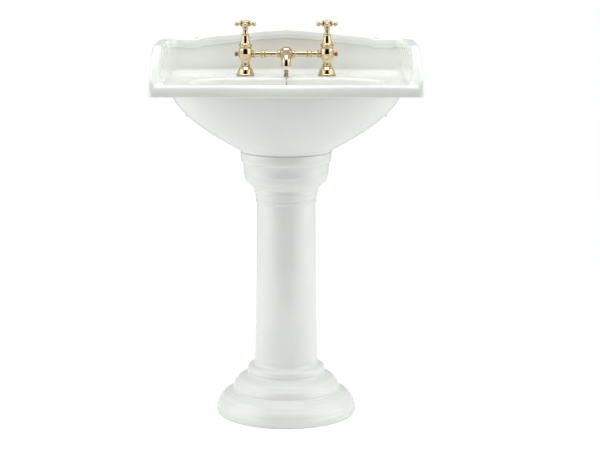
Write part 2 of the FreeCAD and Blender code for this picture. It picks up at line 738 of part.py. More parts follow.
def tap_pillar(side):
    """One pillar of the bridge tap, from the index button down to the threaded tail."""
    tag = "hot" if side < 0 else "cold"
    x = n.tap_spacing / 2 * side
    y = n.tap_y
    zero = Size("0", 0)
    outward = TO_MINUS_X if side < 0 else TO_PLUS_X
    inward = TO_PLUS_X if side < 0 else TO_MINUS_X
    shank = n.tail_radius
    top = n.body_top
    stem = n.stem_radius
    collar = n.collar_radius
    belly = n.body_belly
    flange_top = n.flange_rise
    spindle = n.spindle_radius
    run = spindle + n.turning_gap
    guide = n.washer_radius - 1.5
    lift_room = n.seat_rise + n.washer_thick + 3 + n.valve_lift + 1

    def stand(body, label):
        keep(put(body, x, y, DECK), f"{tag}_{label}")

    # Bell flange on the deck, with its sealing ring
    stand(turned(f"{tag}_flange_body", [
        (shank + n.thread_gap, n.deck_seal), (n.flange_radius, n.deck_seal),
        (n.flange_radius - 1, n.deck_seal + 2), (shank + 2.6, flange_top - 2, -40),
        (shank + 0.4, flange_top), (shank + n.thread_gap, flange_top),
    ]), "base_flange")
    stand(ring(f"{tag}_deck_seal_body", TAP_HOLE, n.flange_radius - 1.5, zero, n.deck_seal),
          "deck_seal")

    # Body: threaded tail, vase, collar, valve chamber, neck to the bridge, boss for the finial
    neck_end = n.tap_spacing / 2 - 19.5
    vase = turned(f"{tag}_vase", [
        (n.waterway_radius, -n.tail_length), (shank, -n.tail_length), (shank, flange_top),
        (shank + 1.35, flange_top), (shank + 1.35, flange_top + 3),
        (shank - 0.1, flange_top + 9, 9), (belly - 1.5, top - 31, 30), (belly - 0.8, top - 9, -50),
        (belly - 1.7, top - 7.5), (collar, top - 5), (collar, top), (n.chamber_radius, top),
        (n.chamber_radius, n.seat_rise - 3), (n.waterway_radius + 2, n.seat_rise - 3),
        (n.waterway_radius + 1.5, n.seat_rise), (n.waterway_radius, n.seat_rise),
    ])
    put(vase, x, y, DECK)
    in_wall = n.chamber_radius + PAST
    shoulder = belly + 0.2
    neck = rod(f"{tag}_neck", n.bridge_radius - 0.5, n.tap_spacing / 2 - neck_end - in_wall,
               x - in_wall * side, y, BRIDGE_Z, inward)
    boss = rod(f"{tag}_finial_boss", 4.8, shoulder - in_wall, x + in_wall * side, y, BRIDGE_Z, outward)
    drilled = cut(f"{tag}_body_drilled", fused(f"{tag}_body_blank", [vase, neck, boss]), [
        rod(f"{tag}_port", n.bridge_bore, n.tap_spacing / 2 - neck_end + PAST, x, y, BRIDGE_Z, inward),
        rod(f"{tag}_finial_hole", 2 + n.thread_gap, belly + PAST, x, y, BRIDGE_Z, outward),
    ])
    keep(drilled, f"{tag}_tap_body")

    # End finial: a short screw, a neck and a domed head
    finial = turned(f"{tag}_finial_body", [
        (zero, n.chamber_radius + 1), (2, n.chamber_radius + 1), (2, shoulder), (4.6, shoulder),
        (4.2, belly + 3.1), (6, belly + 4.1), (zero, belly + 10.1, dome(6, 6)),
    ])
    keep(put(finial, x, y, BRIDGE_Z, outward), f"{tag}_end_finial")

    # Headwork screwed into the chamber, with the jumper guided in its foot
    base = lift_room
    stand(turned(f"{tag}_headwork_body", [
        (guide + n.turning_gap, base), (n.chamber_radius - n.thread_gap, base),
        (n.chamber_radius - n.thread_gap, top), (12, top), (12, top + 3), (9.2, top + 3.2),
        (9.2, top + 14), (7.8, top + 14.5), (7.8, top + n.bonnet_rise),
        (stem - 1.4, top + n.bonnet_rise), (stem - 1.4, top + 31), (run, top + 31),
        (run, top + 1), (guide + n.turning_gap, top + 1),
    ]), "headwork")

    # Bell bonnet that covers the headwork
    bonnet_top = top + n.bonnet_rise
    stand(turned(f"{tag}_bonnet_body", [
        (collar - 2.4, top), (collar - 0.9, top), (collar - 0.9, top + 1),
        (12.2, top + 8, 10), (11, top + 16), (9.3, bonnet_top),
        (7.8 + n.thread_gap, bonnet_top), (7.8 + n.thread_gap, bonnet_top - 3), (9.6, top + 15),
        (10.8, top + 8), (13, top + 4),
    ]), "bonnet")

    # Gland nut over the packing
    gland_foot = bonnet_top + n.contact_gap * 4
    gland_top = n.handle_rise - 10.5
    stand(turned(f"{tag}_gland_body", [
        (stem - 1.4 + n.thread_gap, gland_foot), (stem, gland_foot), (stem, gland_foot + 2),
        (stem - 0.6, gland_foot + 8), (stem, gland_top - 1.5), (stem, gland_top),
        (run, gland_top), (run, gland_top - 4), (stem - 1.4 + n.thread_gap, gland_top - 4),
    ]), "gland_nut")
    stand(ring(f"{tag}_packing_body", run, stem - 1.4, top + 31, gland_top - 4), "gland_packing")

    # Spindle: thread in the jumper, retaining collar, plain shaft and square for the handle
    thread = spindle - 0.5
    handle_foot = gland_top + n.contact_gap * 6
    spindle_top = n.handle_rise + 2
    stand(turned(f"{tag}_spindle_body", [
        (zero, top - 15), (thread, top - 15), (thread, top - 2.5), (5.5, top - 2.5),
        (5.5, top + 1 - n.contact_gap), (spindle, top + 1 - n.contact_gap), (spindle, handle_foot + 1),
        (spindle - 0.4, handle_foot + 1), (spindle - 0.4, spindle_top), (1.6, spindle_top),
        (1.6, spindle_top - 8), (zero, spindle_top - 8),
    ]), "spindle")

    # Jumper and washer
    washer_foot = n.seat_rise + n.contact_gap
    plate = washer_foot + n.washer_thick
    jumper_top = top - 2.5 - n.valve_lift - 1
    thread_room = top - 15 - n.valve_lift - 1
    stand(turned(f"{tag}_jumper_body", [
        (zero, plate), (n.washer_radius, plate), (n.washer_radius, plate + 2.5),
        (guide, plate + 2.5), (guide, jumper_top), (thread + n.thread_gap, jumper_top),
        (thread + n.thread_gap, thread_room), (zero, thread_room),
    ]), "jumper")
    stand(turned(f"{tag}_washer_body", [
        (zero, washer_foot), (n.washer_radius, washer_foot), (n.washer_radius, plate), (zero, plate),
    ]), "tap_washer")

    # Cross handle: hub and four arms with a bead and a ball each
    handle = new_body(f"{tag}_handle_body")
    up = n.handle_rise
    hub = outline(handle, "XZ_Plane", f"{tag}_hub_outline", [
        (spindle - 0.4 + n.thread_gap, handle_foot + 1 - up), (spindle + n.thread_gap, handle_foot + 1 - up),
        (spindle + n.thread_gap, handle_foot - up), (stem + 0.7, handle_foot - up), (stem - 0.3, 4.5 - 11),
        (8.6, -2, 9), (8.6, 2), (12.3, 6, 7), (12.3, 7.6), (9.4, 8.4), (6.1, 8.4), (6.1, 5), (5.2, 5),
        (5.2, 2 + n.contact_gap), (spindle - 0.4 + n.thread_gap, 2 + n.contact_gap),
    ])
    hub_turn = handle.newObject("PartDesign::Revolution", f"{tag}_hub")
    hub_turn.Profile = hub
    hub_turn.ReferenceAxis = (hub, ["V_Axis"])
    hub_turn.Angle = 360
    reach = n.handle_span / 2
    ball_end = reach - n.arm_ball - root(n.arm_ball * n.arm_ball - n.arm_neck * n.arm_neck)
    bead_end = n.arm_bead_at + root(n.arm_bead * n.arm_bead - n.arm_neck * n.arm_neck)
    bead_start = n.arm_bead_at - root(n.arm_bead * n.arm_bead - n.arm_root * n.arm_root)
    arm = outline(handle, "XZ_Plane", f"{tag}_arm_outline", [
        (6.5, zero), (reach, zero), (ball_end, n.arm_neck, -n.arm_ball), (bead_end, n.arm_neck),
        (bead_start, n.arm_root, -n.arm_bead), (6.5, n.arm_root),
    ])
    arm_turn = handle.newObject("PartDesign::Revolution", f"{tag}_arm")
    arm_turn.Profile = arm
    arm_turn.ReferenceAxis = (arm, ["H_Axis"])
    arm_turn.Angle = 360
    arms = handle.newObject("PartDesign::PolarPattern", f"{tag}_arms")
    arms.Originals = [arm_turn]
    arms.Axis = (hub, ["V_Axis"])
    arms.Angle = 360
    arms.Occurrences = 4
    handle.Tip = arms
    keep(put(handle, x, y, DECK + up), f"{tag}_handle")

    # Screw that holds the handle, and the index button over it
    stand(turned(f"{tag}_screw_body", [
        (zero, up - 5), (1.5, up - 5), (1.5, up + 2 + n.contact_gap), (4.8, up + 2 + n.contact_gap),
        (4.8, up + 4.4), (zero, up + 4.4),
    ]), "handle_screw")
    stand(turned(f"{tag}_index_body", [
        (zero, up + 5), (6.05, up + 5), (6.05, up + 12), (zero, up + 16.5, dome(6.05, 4.5)),
    ]), "index_button")


def tap_fixings():
    """Rubber washers and back nuts under the deck, one pair of each."""
    washers = []
    nuts = []
    for side in (-1, 1):
        tag = "hot" if side < 0 else "cold"
        x = n.tap_spacing / 2 * side
        seal = ring(f"{tag}_tail_seal", n.tail_radius + n.thread_gap, n.tail_nut_radius + 2,
                    n.rim_bottom - n.tail_seal_thick, n.rim_bottom)
        washers.append(put(seal, x, n.tap_y, 0))
        prism = doc.addObject("Part::Prism", f"{tag}_nut_blank")
        prism.Polygon = 6
        bind(prism, "Circumradius", n.tail_nut_radius)
        bind(prism, "Height", n.tail_nut_thick)
        foot = n.rim_bottom - n.tail_seal_thick - n.tail_nut_thick
        put(prism, x, n.tap_y, foot)
        bore = rod(f"{tag}_nut_bore", n.tail_radius + n.thread_gap, n.tail_nut_thick + PAST * 2,
                   x, n.tap_y, foot - PAST)
        nuts.append(cut(f"{tag}_nut", prism, [bore]))
    for label, pair in (("tail_seals", washers), ("tail_back_nuts", nuts)):
        both = doc.addObject("Part::Compound", f"{label}_pair")
        both.Links = pair
        keep(both, label)


# ---------------------------------------------------------------- bridge and spout

def bridge(side):
    """One half of the bridge: a union nut on the pillar's neck and the tube to the spout."""
    tag = "hot" if side < 0 else "cold"
    half = n.tap_spacing / 2
    bar = n.bridge_radius
    sleeve = bar - 0.1
    bore = bar - 1.5
    neck_end = half - 19.5
    turn = TO_MINUS_X if side < 0 else TO_PLUS_X
    union = turned(f"{tag}_union_body", [
        (bore + n.thread_gap, neck_end - 19.5), (bar + 0.5, neck_end - 20.5), (bar + 0.5, neck_end - 19),
        (sleeve, neck_end - 18.5), (sleeve, neck_end - 4.5), (n.union_radius, neck_end - 4),
        (n.union_radius, neck_end), (bore + n.thread_gap, neck_end),
    ])
    keep(put(union, 0, n.tap_y, BRIDGE_Z, turn), f"{tag}_bridge_union")
    inner = half - 52
    tube = turned(f"{tag}_tube_body", [
        (n.bridge_bore, inner - 8), (bar - 2.4, inner - 8), (bar - 2.4, inner), (bar + 1.5, inner),
        (bar + 1.5, inner + 4.5), (bar - 0.7, inner + 5), (bar - 0.7, neck_end - 21),
        (bore, neck_end - 20.5), (bore, neck_end), (n.bridge_bore, neck_end),
    ])
    keep(put(tube, 0, n.tap_y, BRIDGE_Z, turn), f"{tag}_bridge_tube")


def spout_route():
    """Straight fall from the ball, one bend, then straight down to the mouth, in the YZ plane."""
    start = Vector(0, n.tap_y.value, BRIDGE_Z.value)
    corner = Vector(0, (n.tap_y - n.spout_reach).value, (BRIDGE_Z - n.spout_slope_drop).value)
    mouth = Vector(0, corner.y, (BRIDGE_Z - n.spout_drop).value)
    out = (corner - start).normalize()
    down = Vector(0, 0, -1)
    turn = out.getAngle(down)
    tangent = n.spout_bend.value * math.tan(turn / 2)
    a = corner - out * tangent
    b = corner + down * tangent
    bisector = (down - out).normalize()
    middle = corner + bisector * (n.spout_bend.value * (1 / math.cos(turn / 2) - 1))
    return start, a, middle, b, mouth


def spout_tube(name, radius):
    """A tube's solid along the spout's route; the path itself can't be a sheet-driven sketch."""
    start, a, middle, b, mouth = spout_route()
    edges = [Part.LineSegment(start, a).toShape(), Part.Arc(a, middle, b).toShape()]
    if (mouth - b).Length > 1e-3:
        edges.append(Part.LineSegment(b, mouth).toShape())
    path = Part.Wire(edges)
    section = Part.Wire(Part.Circle(start, a - start, radius.value).toShape())
    item = doc.addObject("Part::Feature", name)
    item.Shape = path.makePipeShell([section], True, False)
    return item


def spout():
    """Ball, side arms and spout in one casting, with the flow straightener in its mouth."""
    bar = n.bridge_radius
    inner = n.tap_spacing / 2 - 52
    mouth_y = n.tap_y - n.spout_reach
    mouth_z = BRIDGE_Z - n.spout_drop
    ball = doc.addObject("Part::Sphere", "spout_ball")
    bind(ball, "Radius", n.ball_radius)
    put(ball, 0, n.tap_y, BRIDGE_Z, TO_PLUS_X)
    nozzle = turned("spout_mouth", [
        (Size("0", 0), 0), (n.nozzle_radius, 0), (n.nozzle_radius - 0.6, 3),
        (n.spout_radius + 0.6, n.spout_drop - 9), (Size("0", 0), n.spout_drop - 9),
    ])
    put(nozzle, 0, mouth_y, mouth_z)
    blank = fused("spout_blank", [
        ball,
        rod("spout_arms", bar, inner * 2, -inner, n.tap_y, BRIDGE_Z, TO_PLUS_X),
        spout_tube("spout_outside", n.spout_radius),
        nozzle,
    ])
    straightener_radius = n.spout_bore + 2
    drilled = cut("spout_drilled", blank, [
        rod("arms_bore", bar - 2.4 + n.thread_gap, 8 + PAST, -inner - PAST, n.tap_y, BRIDGE_Z, TO_PLUS_X),
        rod("arms_bore_far", bar - 2.4 + n.thread_gap, 8 + PAST, inner - 8, n.tap_y, BRIDGE_Z, TO_PLUS_X),
        rod("arms_waterway", n.bridge_bore, inner * 2, -inner, n.tap_y, BRIDGE_Z, TO_PLUS_X),
        spout_tube("spout_waterway", n.spout_bore),
        rod("mouth_bore", straightener_radius + n.thread_gap, 7, 0, mouth_y, mouth_z - PAST),
    ])
    keep(drilled, "spout")
    grid = [(3.4 * math.cos(math.radians(60 * k)), 3.4 * math.sin(math.radians(60 * k))) for k in range(6)]
    disc = rod("straightener_disc", straightener_radius, 4, 0, mouth_y, mouth_z + 2)
    holes = [rod(f"straightener_hole_{k}", 1.3, 6, gx, mouth_y + gy, mouth_z + 1)
             for k, (gx, gy) in enumerate(grid + [(0, 0)])]
    keep(cut("straightener_drilled", disc, holes), "flow_straightener")


# ---------------------------------------------------------------- waste, plug and chain

def waste():
    """Slotted waste through the china, its seals and its back nut."""
    y = n.waste_y
    tail = n.waste_tail_radius
    bore = n.waste_bore
    floor = BOWL_FLOOR
    top = floor + n.waste_seal
    low = floor - n.waste_length
    fitting = put(turned("waste_turned", [
        (bore, low), (tail, low), (tail, top), (n.waste_flange_radius, top),
        (n.waste_flange_radius - 1, top + 1.6), (n.waste_flange_radius - 8, top + 2.5),
        (n.plug_radius + n.plug_gap, top + 2.5), (bore, top - 7),
    ]), 0, y, 0)
    slot_z = BOSS_BOTTOM + n.waste_boss_depth / 2
    half_slot = n.duct_bore / 2 + PAST
    slots = box("waste_slots", -half_slot, y - tail - PAST, slot_z - 4, half_slot, y + tail + PAST, slot_z + 4)
    keep(cut("waste_slotted", fitting, [slots]), "waste_fitting")
    seal_in = tail + n.thread_gap
    keep(put(ring("waste_top_seal_body", seal_in, n.waste_flange_radius - 1, floor, top), 0, y, 0),
         "waste_top_seal")
    seal_low = BOSS_BOTTOM - n.tail_seal_thick
    keep(put(ring("waste_low_seal_body", seal_in, n.waste_nut_radius + 2, seal_low, BOSS_BOTTOM), 0, y, 0),
         "waste_lower_seal")
    prism = doc.addObject("Part::Prism", "waste_nut_blank")
    prism.Polygon = 8
    bind(prism, "Circumradius", n.waste_nut_radius)
    bind(prism, "Height", n.tail_nut_thick)
    put(prism, 0, y, seal_low - n.tail_nut_thick)
    bore_tool = rod("waste_nut_bore", seal_in, n.tail_nut_thick + PAST * 2, 0, y,
                    seal_low - n.tail_nut_thick - PAST)
    keep(cut("waste_nut_cut", prism, [bore_tool]), "waste_back_nut")


def plug():
    """Tapered rubber plug with a brass cap and eye."""
    y = n.waste_y
    top = BOWL_FLOOR + n.waste_seal
    zero = Size("0", 0)
    rubber = put(turned("plug_rubber", [
        (zero, top - 6), (n.waste_bore + 0.07, top - 6), (n.plug_radius, top + 2.8), (zero, top + 2.8),
    ]), 0, y, 0)
    keep(rubber, "plug")
    foot = top + 2.8
    cap = put(turned("plug_cap_body", [
        (zero, foot), (n.plug_radius - 1, foot), (n.plug_radius - 1.5, foot + 1.2), (4, foot + 3, -60),
        (2, foot + 5), (2, foot + 7.5), (zero, foot + 9.5, dome(2, 2)),
    ]), 0, y, 0)
    keep(cap, "plug_cap")


def chain_stay():
    """Small turned pillar behind the bowl with an eye for the chain, its washer and nut."""
    shank = n.chain_diameter
    zero = Size("0", 0)
    pillar = put(turned("chain_stay_turned", [
        (zero, -26), (shank, -26), (shank, 0.8), (7, 0.8), (6, 2.4), (2.6, 4.5, 4), (2.6, 8),
        (4.6, 9.6), (5.5, 13), (4.6, 16.5, -6), (zero, 20, dome(4.6, 3.5)),
    ]), 0, STAY_Y, DECK)
    keep(pillar, "chain_stay")
    keep(put(ring("chain_stay_seal_body", shank + n.thread_gap, 6.6, zero, Size("0.8", 0.8)), 0, STAY_Y, DECK),
         "chain_stay_seal")
    nut_foot = n.rim_bottom - 6
    prism = doc.addObject("Part::Prism", "stay_nut_blank")
    prism.Polygon = 6
    bind(prism, "Circumradius", shank + 5.3)
    bind(prism, "Height", 6)
    put(prism, 0, STAY_Y, nut_foot)
    bore = rod("stay_nut_bore", shank + n.thread_gap, 8, 0, STAY_Y, nut_foot - PAST)
    keep(cut("stay_nut_cut", prism, [bore]), "chain_stay_nut")


# The chain hangs from the stay over the bowl's back lip, then lies slack round the waste to the plug.
CHAIN_POINTS = [
    (0, 118.2, 845), (0.4, 102, 842), (0.8, 86, 838), (1.2, 79.6, 822), (1.6, 78.6, 792),
    (1.4, 76.6, 762), (1.5, 71.5, 735), (6, 61, 714), (20, 51, 702.5), (38, 40, 699.5),
    (49, 22, 698), (46, 1, 697.6), (30, -12, 699), (13, -8, 703.5), (3, 6, 707.5), (0, 18, 705.5),
]


def chain_route(points, share=0.45):
    """Straight runs joined by tangent arcs as large as the runs allow; prints each radius."""
    edges = []
    radii = []
    at = points[0]
    for before, corner, after in zip(points, points[1:], points[2:]):
        into = (corner - before).normalize()
        out = (after - corner).normalize()
        turn = into.getAngle(out)
        cut_back = share * min((corner - before).Length, (after - corner).Length)
        radius = cut_back / math.tan(turn / 2)
        a = corner - into * cut_back
        b = corner + out * cut_back
        middle = corner + (out - into).normalize() * (radius * (1 / math.cos(turn / 2) - 1))
        edges.append(Part.LineSegment(at, a).toShape())
        edges.append(Part.Arc(a, middle, b).toShape())
        radii.append(radius)
        at = b
    edges.append(Part.LineSegment(at, points[-1]).toShape())
    print("chain radii", [round(r, 1) for r in radii])
    return Part.Wire(edges)


def chain():
    """The plug's ball chain as a plain tube along its route."""
    points = [Vector(*p) for p in CHAIN_POINTS]
    path = chain_route(points)
    radius = n.chain_diameter.value / 2
    section = Part.Wire(Part.Circle(points[0], points[1] - points[0], radius).toShape())
    item = doc.addObject("Part::Feature", "plug_chain_tube")
    item.Shape = path.makePipeShell([section], True, False)
    expected = math.pi * radius * radius * path.Length
    print(f"chain length {path.Length:.1f}, volume over section times length "
          f"{item.Shape.Volume / expected:.4f}")
    keep(item, "plug_chain")


def trap():
    """Bottle trap under the waste: coupling nut, seal, body with dip tube, cup, outlet pipe."""
    y = n.waste_y
    tail = n.waste_tail_radius
    bore = n.waste_bore
    end = BOWL_FLOOR - n.waste_length
    seal = n.gasket_thick
    neck_top = end - seal
    shoulder = neck_top - 28
    foot = shoulder - n.trap_length
    cup_top = foot + n.trap_length * 0.4
    outer = n.trap_radius
    wall = n.trap_wall
    keep(put(ring("trap_seal_body", bore, tail, neck_top, end), 0, y, 0), "trap_inlet_seal")
    nut = put(turned("trap_nut_turned", [
        (tail + n.thread_gap, end - 16), (outer - 6, end - 16), (outer - 4, end - 13), (outer - 4, end + 7),
        (outer - 7, end + 10), (tail + n.thread_gap, end + 10),
    ]), 0, y, 0)
    keep(nut, "trap_inlet_nut")
    shell = put(turned("trap_body_turned", [
        (bore, neck_top), (tail, neck_top), (tail, shoulder + 4), (outer - 6, shoulder),
        (outer, shoulder - 6, 8), (outer, cup_top), (outer - wall, cup_top),
        (outer - wall, shoulder - wall - 4), (tail - 1, shoulder - wall - 4),
        (tail - 1, cup_top - 20), (bore, cup_top - 20),
    ]), 0, y, 0)
    axis_z = end - n.outlet_drop
    pipe = n.outlet_radius
    stub_end = n.trap_radius + 16
    blank = fused("trap_body_blank", [
        shell,
        cut("trap_stub", rod("trap_stub_rod", pipe + 3, stub_end - outer + wall * 2, 0,
                             y + outer - wall * 2, axis_z, TO_PLUS_Y),
            [rod("trap_stub_clear", outer - wall, n.trap_length, 0, y, foot)]),
    ])
    drilled = cut("trap_body_drilled", blank, [
        rod("trap_outlet_bore", pipe - n.outlet_wall, stub_end, 0, y + tail + 3, axis_z, TO_PLUS_Y),
    ])
    keep(drilled, "trap_body")
    cup = put(turned("trap_cup_turned", [
        (Size("0", 0), foot), (outer - 10, foot), (outer, foot + 10, -10), (outer, cup_top - seal),
        (outer - wall, cup_top - seal), (outer - wall, foot + 12), (outer - 12, foot + wall, 10),
        (Size("0", 0), foot + wall),
    ]), 0, y, 0)
    keep(cup, "trap_cup")
    keep(put(ring("trap_cup_seal_body", outer - wall, outer, cup_top - seal, cup_top), 0, y, 0),
         "trap_cup_seal")
    outlet_start = y + stub_end
    nut_length = 22
    spigot = pipe - n.outlet_spigot_step
    pipe_start = outlet_start + nut_length / 2 + n.outlet_clear
    tube = cut("outlet_tube_cut",
               fused("outlet_tube_blank", [
                   rod("outlet_tube", pipe, HALF_DEPTH - pipe_start, 0, pipe_start, axis_z, TO_PLUS_Y),
                   rod("outlet_spigot", spigot, pipe_start - outlet_start + PAST, 0, outlet_start, axis_z,
                       TO_PLUS_Y),
               ]),
               [rod("outlet_tube_bore", pipe - n.outlet_wall, HALF_DEPTH, 0, outlet_start - PAST, axis_z,
                    TO_PLUS_Y)])
    keep(tube, "outlet_pipe")
    outlet_nut = cut("outlet_nut_cut",
                     rod("outlet_nut_rod", pipe + 8, nut_length, 0, outlet_start - nut_length / 2, axis_z,
                         TO_PLUS_Y),
                     [rod("outlet_nut_bore_in", pipe + 3 + n.thread_gap, nut_length / 2 + PAST, 0,
                          outlet_start - nut_length / 2 - PAST, axis_z, TO_PLUS_Y),
                      rod("outlet_nut_bore_out", spigot + n.thread_gap, nut_length, 0, outlet_start - PAST,
                          axis_z, TO_PLUS_Y)])
    keep(outlet_nut, "outlet_nut")


def check_all():
    """Stops at an object that failed, or a sub-part that isn't a sound solid."""
    for item in doc.Objects:
        for flaw in ("Invalid", "Error"):
            if flaw in item.State:
                raise RuntimeError(f"{item.Name} ({item.Label}) is {item.State}")
    for label, item in PARTS.items():
        shape = item.Shape
        if shape.isNull() or not shape.isValid() or not shape.Solids:
            raise RuntimeError(f"{label} has no sound solid")


basin()
pedestal()
seat_gasket()
for side in (-1, 1):
    tap_pillar(side)
    bridge(side)
tap_fixings()
spout()
waste()
plug()
chain_stay()
chain()
trap()
doc.recompute()
check_all()
os.makedirs("parts", exist_ok=True)
for label, item in PARTS.items():
    item.Shape.exportStep(f"parts/{label}.step")
print(f"{len(PARTS)} sub-parts")
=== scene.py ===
"""Pedestal sink in glazed vitreous china with a brass bridge tap, for soft studio light."""

import math

import bmesh
import bpy
import numpy as np
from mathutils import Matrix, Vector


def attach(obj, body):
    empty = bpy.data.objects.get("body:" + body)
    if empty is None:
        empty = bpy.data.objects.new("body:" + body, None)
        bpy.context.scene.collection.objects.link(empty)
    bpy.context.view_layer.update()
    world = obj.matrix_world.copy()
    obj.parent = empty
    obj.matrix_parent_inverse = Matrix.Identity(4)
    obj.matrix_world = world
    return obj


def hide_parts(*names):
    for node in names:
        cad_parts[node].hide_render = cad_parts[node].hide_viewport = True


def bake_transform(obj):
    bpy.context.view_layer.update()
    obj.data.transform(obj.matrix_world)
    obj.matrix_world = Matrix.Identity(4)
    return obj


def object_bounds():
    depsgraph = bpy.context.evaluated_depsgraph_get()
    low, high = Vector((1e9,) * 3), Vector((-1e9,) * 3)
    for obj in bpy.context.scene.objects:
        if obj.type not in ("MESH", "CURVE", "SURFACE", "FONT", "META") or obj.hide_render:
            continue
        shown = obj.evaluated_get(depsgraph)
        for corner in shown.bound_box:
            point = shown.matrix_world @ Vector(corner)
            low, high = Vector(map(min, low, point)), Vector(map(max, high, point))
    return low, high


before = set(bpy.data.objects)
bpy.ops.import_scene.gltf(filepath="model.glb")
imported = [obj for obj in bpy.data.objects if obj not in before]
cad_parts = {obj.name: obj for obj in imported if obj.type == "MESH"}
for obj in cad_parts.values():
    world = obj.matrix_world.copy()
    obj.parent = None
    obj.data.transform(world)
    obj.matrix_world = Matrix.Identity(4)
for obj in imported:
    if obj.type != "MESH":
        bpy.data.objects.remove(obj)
cad_low, cad_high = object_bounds()

MM = 0.001
FULL_TURN = 2 * math.pi
QUARTER_TURN = math.pi / 2
CHINA_SHARP = 38
METAL_SHARP = 50


# ---------------------------------------------------------------- sizes, mm

HALF_WIDTH = round(cad_high[0] / MM, 2)
FRONT = round(cad_low[1] / MM, 2)
WALL_FACE = round(cad_high[1] / MM, 2)
DECK = 832.0
RIM_TOP = 847.0
RIM_UNDERSIDE = 820.0
WASTE_CENTRE = np.array([0.0, 20.0])
WASTE_HOLE_RADIUS = 23.0
RECESS_RADIUS = 34.0
BOWL_FLOOR = 690.0
SEAT_LEVEL = 660.0
SEAT_RADIUS = 112.0
BOSS_UNDERSIDE = 664.0
TAP_SPACING = 204.0
TAP_LINE = 145.0
BRIDGE_LEVEL = 885.0


# ---------------------------------------------------------------- small helpers

def smoothstep(value, low, high):
    """0 up to low, 1 from high on, and a soft rise between."""
    share = np.clip((np.asarray(value, float) - low) / (high - low), 0.0, 1.0)
    return share * share * (3 - 2 * share)


def quarter(count):
    """Angles spread evenly over a quarter turn, both its ends among them."""
    return np.linspace(0, QUARTER_TURN, count)


def linear(hex_colour):
    """One sRGB hex value as the linear colour that a shader takes."""
    channels = [int(hex_colour[i:i + 2], 16) / 255 for i in (1, 3, 5)]
    return [c / 12.92 if c <= 0.04045 else ((c + 0.055) / 1.055) ** 2.4 for c in channels] + [1.0]


def per_metre(size):
    """A pattern's scale on Object coordinates, from the size in mm of one of its marks."""
    return 1 / (size * MM)


def add_node(tree, kind, settings=None, **links):
    """A node with its settings; a link's name is the input, with _ for a space."""
    made = tree.nodes.new(kind)
    for name, value in (settings or {}).items():
        if name in made.inputs:
            made.inputs[name].default_value = value
        else:
            setattr(made, name, value)
    for name, source in links.items():
        tree.links.new(source, made.inputs[name.replace("_", " ")])
    return made


def in_scene(name, data):
    """An object at the origin that holds the given mesh, lamp, lens or curve."""
    made = bpy.data.objects.new(name, data)
    bpy.context.scene.collection.objects.link(made)
    return made


def as_mesh(piece):
    """A plain mesh of an object with its modifiers, or its spline, worked out."""
    bpy.context.view_layer.update()
    return bpy.data.meshes.new_from_object(piece.evaluated_get(bpy.context.evaluated_depsgraph_get()))


def smooth(mesh, sharp_angle):
    """Smooth shading, apart from edges that turn more than the angle, in degrees."""
    mesh.polygons.foreach_set("use_smooth", [True] * len(mesh.polygons))
    mesh.set_sharp_from_angle(angle=math.radians(sharp_angle))


def mesh_piece(name, points, faces, material, sharp_angle=CHINA_SHARP):
    """A closed mesh object from points in mm, its faces outwards and smooth where they meet gently."""
    mesh = bpy.data.meshes.new(name)
    mesh.from_pydata((np.asarray(points, float) * MM).tolist(), [], faces)
    mesh.validate()
    shape = bmesh.new()
    shape.from_mesh(mesh)
    bmesh.ops.remove_doubles(shape, verts=shape.verts, dist=1e-6)
    bmesh.ops.recalc_face_normals(shape, faces=shape.faces)
    shape.to_mesh(mesh)
    shape.free()
    smooth(mesh, sharp_angle)
    mesh.materials.append(material)
    return in_scene(name, mesh)


def bridged(rows, columns, closed_rows=False):
    """Quads between neighbouring rings of points, each ring closed on itself."""
    faces = []
    for row in range(rows if closed_rows else rows - 1):
        here = row * columns
        there = (row + 1) % rows * columns
        for column in range(columns):
            after = (column + 1) % columns
            faces.append((here + column, here + after, there + after, there + column))
    return faces


def stand_for(piece, body, *nodes):
    """The piece moves with the body and is seen in place of the given CAD nodes."""
    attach(piece, body)
    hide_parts(*nodes)


# ---------------------------------------------------------------- materials

def new_material(name):
    """An empty surface shader, and the Object coordinates that its patterns follow."""
    material = bpy.data.materials.new(name)
    material.use_nodes = True
    tree = material.node_tree
    tree.nodes.clear()
    shader = add_node(tree, "ShaderNodeBsdfPrincipled")
    add_node(tree, "ShaderNodeOutputMaterial", Surface=shader.outputs["BSDF"])
    place = add_node(tree, "ShaderNodeTexCoord").outputs["Object"]
    return material, tree, shader, place


def two_tone(tree, shader, pattern, low, high, first, second):
    """Base colour that drifts between two hex tones as the pattern goes from low to high."""
    share = add_node(tree, "ShaderNodeMapRange", {"From Min": low, "From Max": high}, Value=pattern)
    mixed = add_node(tree, "ShaderNodeMix", {"data_type": "RGBA"}, Factor=share.outputs["Result"])
    # a mix node holds float, vector and colour sockets of the same names; 6, 7 and 2 are the colours
    mixed.inputs[6].default_value = linear(first)
    mixed.inputs[7].default_value = linear(second)
    tree.links.new(mixed.outputs[2], shader.inputs["Base Color"])


def uneven_gloss(tree, shader, pattern, low, high):
    """Roughness that goes from low to high with a pattern's value."""
    gloss = add_node(tree, "ShaderNodeMapRange",
                     {"From Min": 0.3, "From Max": 0.7, "To Min": low, "To Max": high}, Value=pattern)
    tree.links.new(gloss.outputs["Result"], shader.inputs["Roughness"])


def relief(tree, shader, pattern, strength, depth):
    """Bump of the given depth, in mm, from a pattern's value."""
    bump = add_node(tree, "ShaderNodeBump", {"Strength": strength, "Distance": depth * MM}, Height=pattern)
    tree.links.new(bump.outputs["Normal"], shader.inputs["Normal"])


